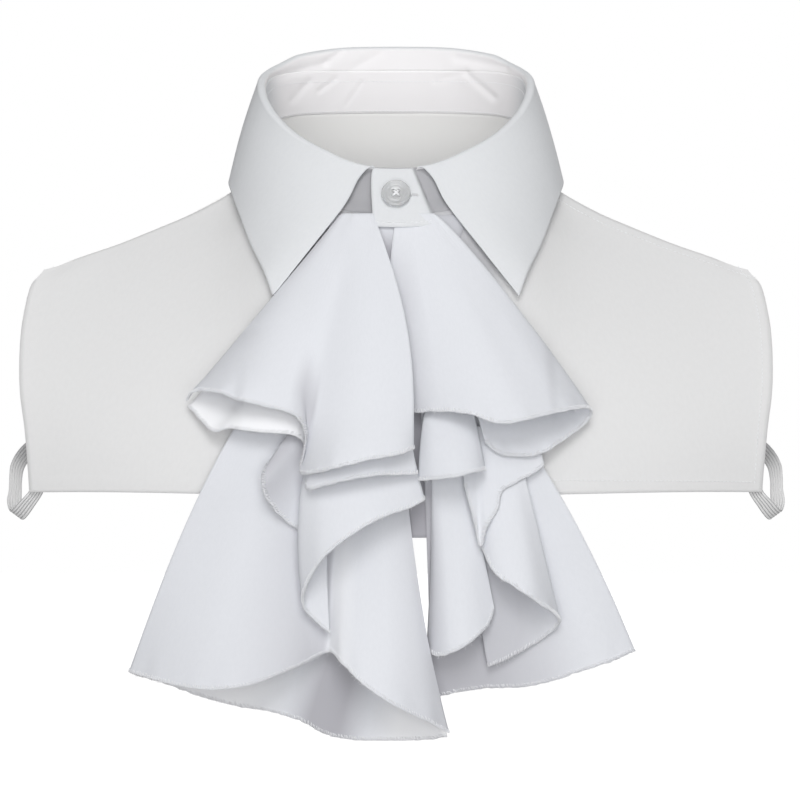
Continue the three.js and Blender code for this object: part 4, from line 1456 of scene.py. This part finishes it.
# crossed threads through the four holes, down to the cloth
def makeButtonThread():
    curve = bpy.data.curves.new("tube", "CURVE")
    curve.dimensions = "3D"
    curve.bevel_depth = button["threadRadius"] * mm
    curve.bevel_resolution = 2
    curve.use_fill_caps = True
    arc, spread, foot = np.linspace(0, 1, 13), button["holeSpread"], buttonBase - button["threadSink"]
    for x, arch in zip((-spread, spread), button["threadArch"]):
        for side in (-button["threadGap"], button["threadGap"]):
            across, upward = lerp(x + side, -x + side, arc), lerp(-spread, spread, arc)
            height = buttonBase + button["threadRise"] + arch * np.sin(math.pi * arc)
            middle = np.stack([across, upward, height], -1)
            path = np.vstack([[across[0], upward[0], foot], middle, [across[-1], upward[-1], foot]])
            spline = curve.splines.new("POLY")
            spline.points.add(len(path) - 1)
            for target, point in zip(spline.points, ontoTab(path) * mm):
                target.co = (*point, 1)
    mesh = finishedMesh(placeObject("tube", curve), "button_thread")
    mesh.shade_smooth()
    mesh.materials.append(cloths["thread"])
    addPiece("button_thread", mesh)


# worked edges of the buttonhole, which runs across the tab behind the button
def makeButtonhole():
    x = np.linspace(*button["slit"], 40)
    surface = stand["thickness"] / 2 + button["slitRaise"]
    runs = []
    for side in (-1, 1):
        line = ontoTab(np.stack([x, 0 * x + side * button["slitHalf"], 0 * x + surface], -1))
        runs.append((line[::-side], np.tile(tabFacing, (len(x), 1))))
    threadPiece("buttonhole_threads", runs, "buttonhole", 26)


makeButton()
makeButtonThread()
makeButtonhole()
print("button made")


# stage, light and camera

# sky is how bright the world is to all but the camera, which sees it white
stage = {"floor": -1200, "size": 12000, "grey": (0.4, 0.4, 0.4, 1), "white": (1, 1, 1, 1), "sky": 0.36}


def makeStage():
    material, tree, shader = startMaterial("pale_floor")
    seen = addNode(tree, "ShaderNodeLightPath").outputs["Is Camera Ray"]
    setInputs(tree, shader, {"Base Color": stage["grey"], "Roughness": 1})
    setInputs(tree, shader, {"Emission Color": stage["white"], "Emission Strength": seen})
    half, level = stage["size"] / 2 * mm, stage["floor"] * mm
    corners = [(-half, -half, level), (half, -half, level), (half, half, level), (-half, half, level)]
    mesh = bpy.data.meshes.new("floor")
    mesh.from_pydata(corners, [], [(0, 1, 2, 3)])
    mesh.materials.append(material)
    placeObject("floor", mesh)


def makeWorld():
    world = bpy.data.worlds.new("studio")
    bpy.context.scene.world = world
    world.use_nodes = True
    tree = world.node_tree
    seen = addNode(tree, "ShaderNodeLightPath").outputs["Is Camera Ray"]
    strength = firstOutput(tree, "ShaderNodeMapRange", {"Value": seen, "To Min": stage["sky"]})
    setInputs(tree, tree.nodes["Background"], {"Color": stage["white"], "Strength": strength})


lightAim = (0, 0, -100)
lights = {
    "top_light": {"place": (0, -2300, 1700), "power": 30, "size": 1200},
    "front_light": {"place": (0, -3000, -200), "power": 40, "size": 2400},
    "back_light": {"place": (500, 3000, 900), "power": 46, "size": 2400},
}


def addSoftLight(name, light):
    lamp = bpy.data.lights.new(name, "AREA")
    lamp.energy, lamp.size = light["power"], light["size"] * mm
    piece = placeObject(name, lamp)
    piece.location = np.array(light["place"]) * mm
    x, y, z = np.array(lightAim) - np.array(light["place"])
    piece.rotation_euler = (math.pi / 2 + math.atan2(z, math.hypot(x, y)), 0, -math.atan2(x, y))


makeStage()
makeWorld()
for name, light in lights.items():
    addSoftLight(name, light)

# distance and lens in millimetres, turns in degrees
cameraView = {"distance": 2000, "rise": 3, "pitch": 6.6334, "yaw": 0.0608, "lens": 170.245, "sensor": 36}


def makeCamera():
    camera = bpy.data.cameras.new("camera")
    camera.lens, camera.sensor_width = cameraView["lens"], cameraView["sensor"]
    camera.clip_start, camera.clip_end = 0.1, 50
    piece = placeObject("camera", camera)
    rise, distance = math.radians(cameraView["rise"]), cameraView["distance"] * mm
    piece.location = (0, -distance * math.cos(rise), distance * math.sin(rise))
    piece.rotation_euler = (math.radians(90 - cameraView["pitch"]), 0, -math.radians(cameraView["yaw"]))
    bpy.context.scene.camera = piece


makeCamera()
bpy.context.scene.view_settings.view_transform = "Standard"
print("stage, light and camera made")
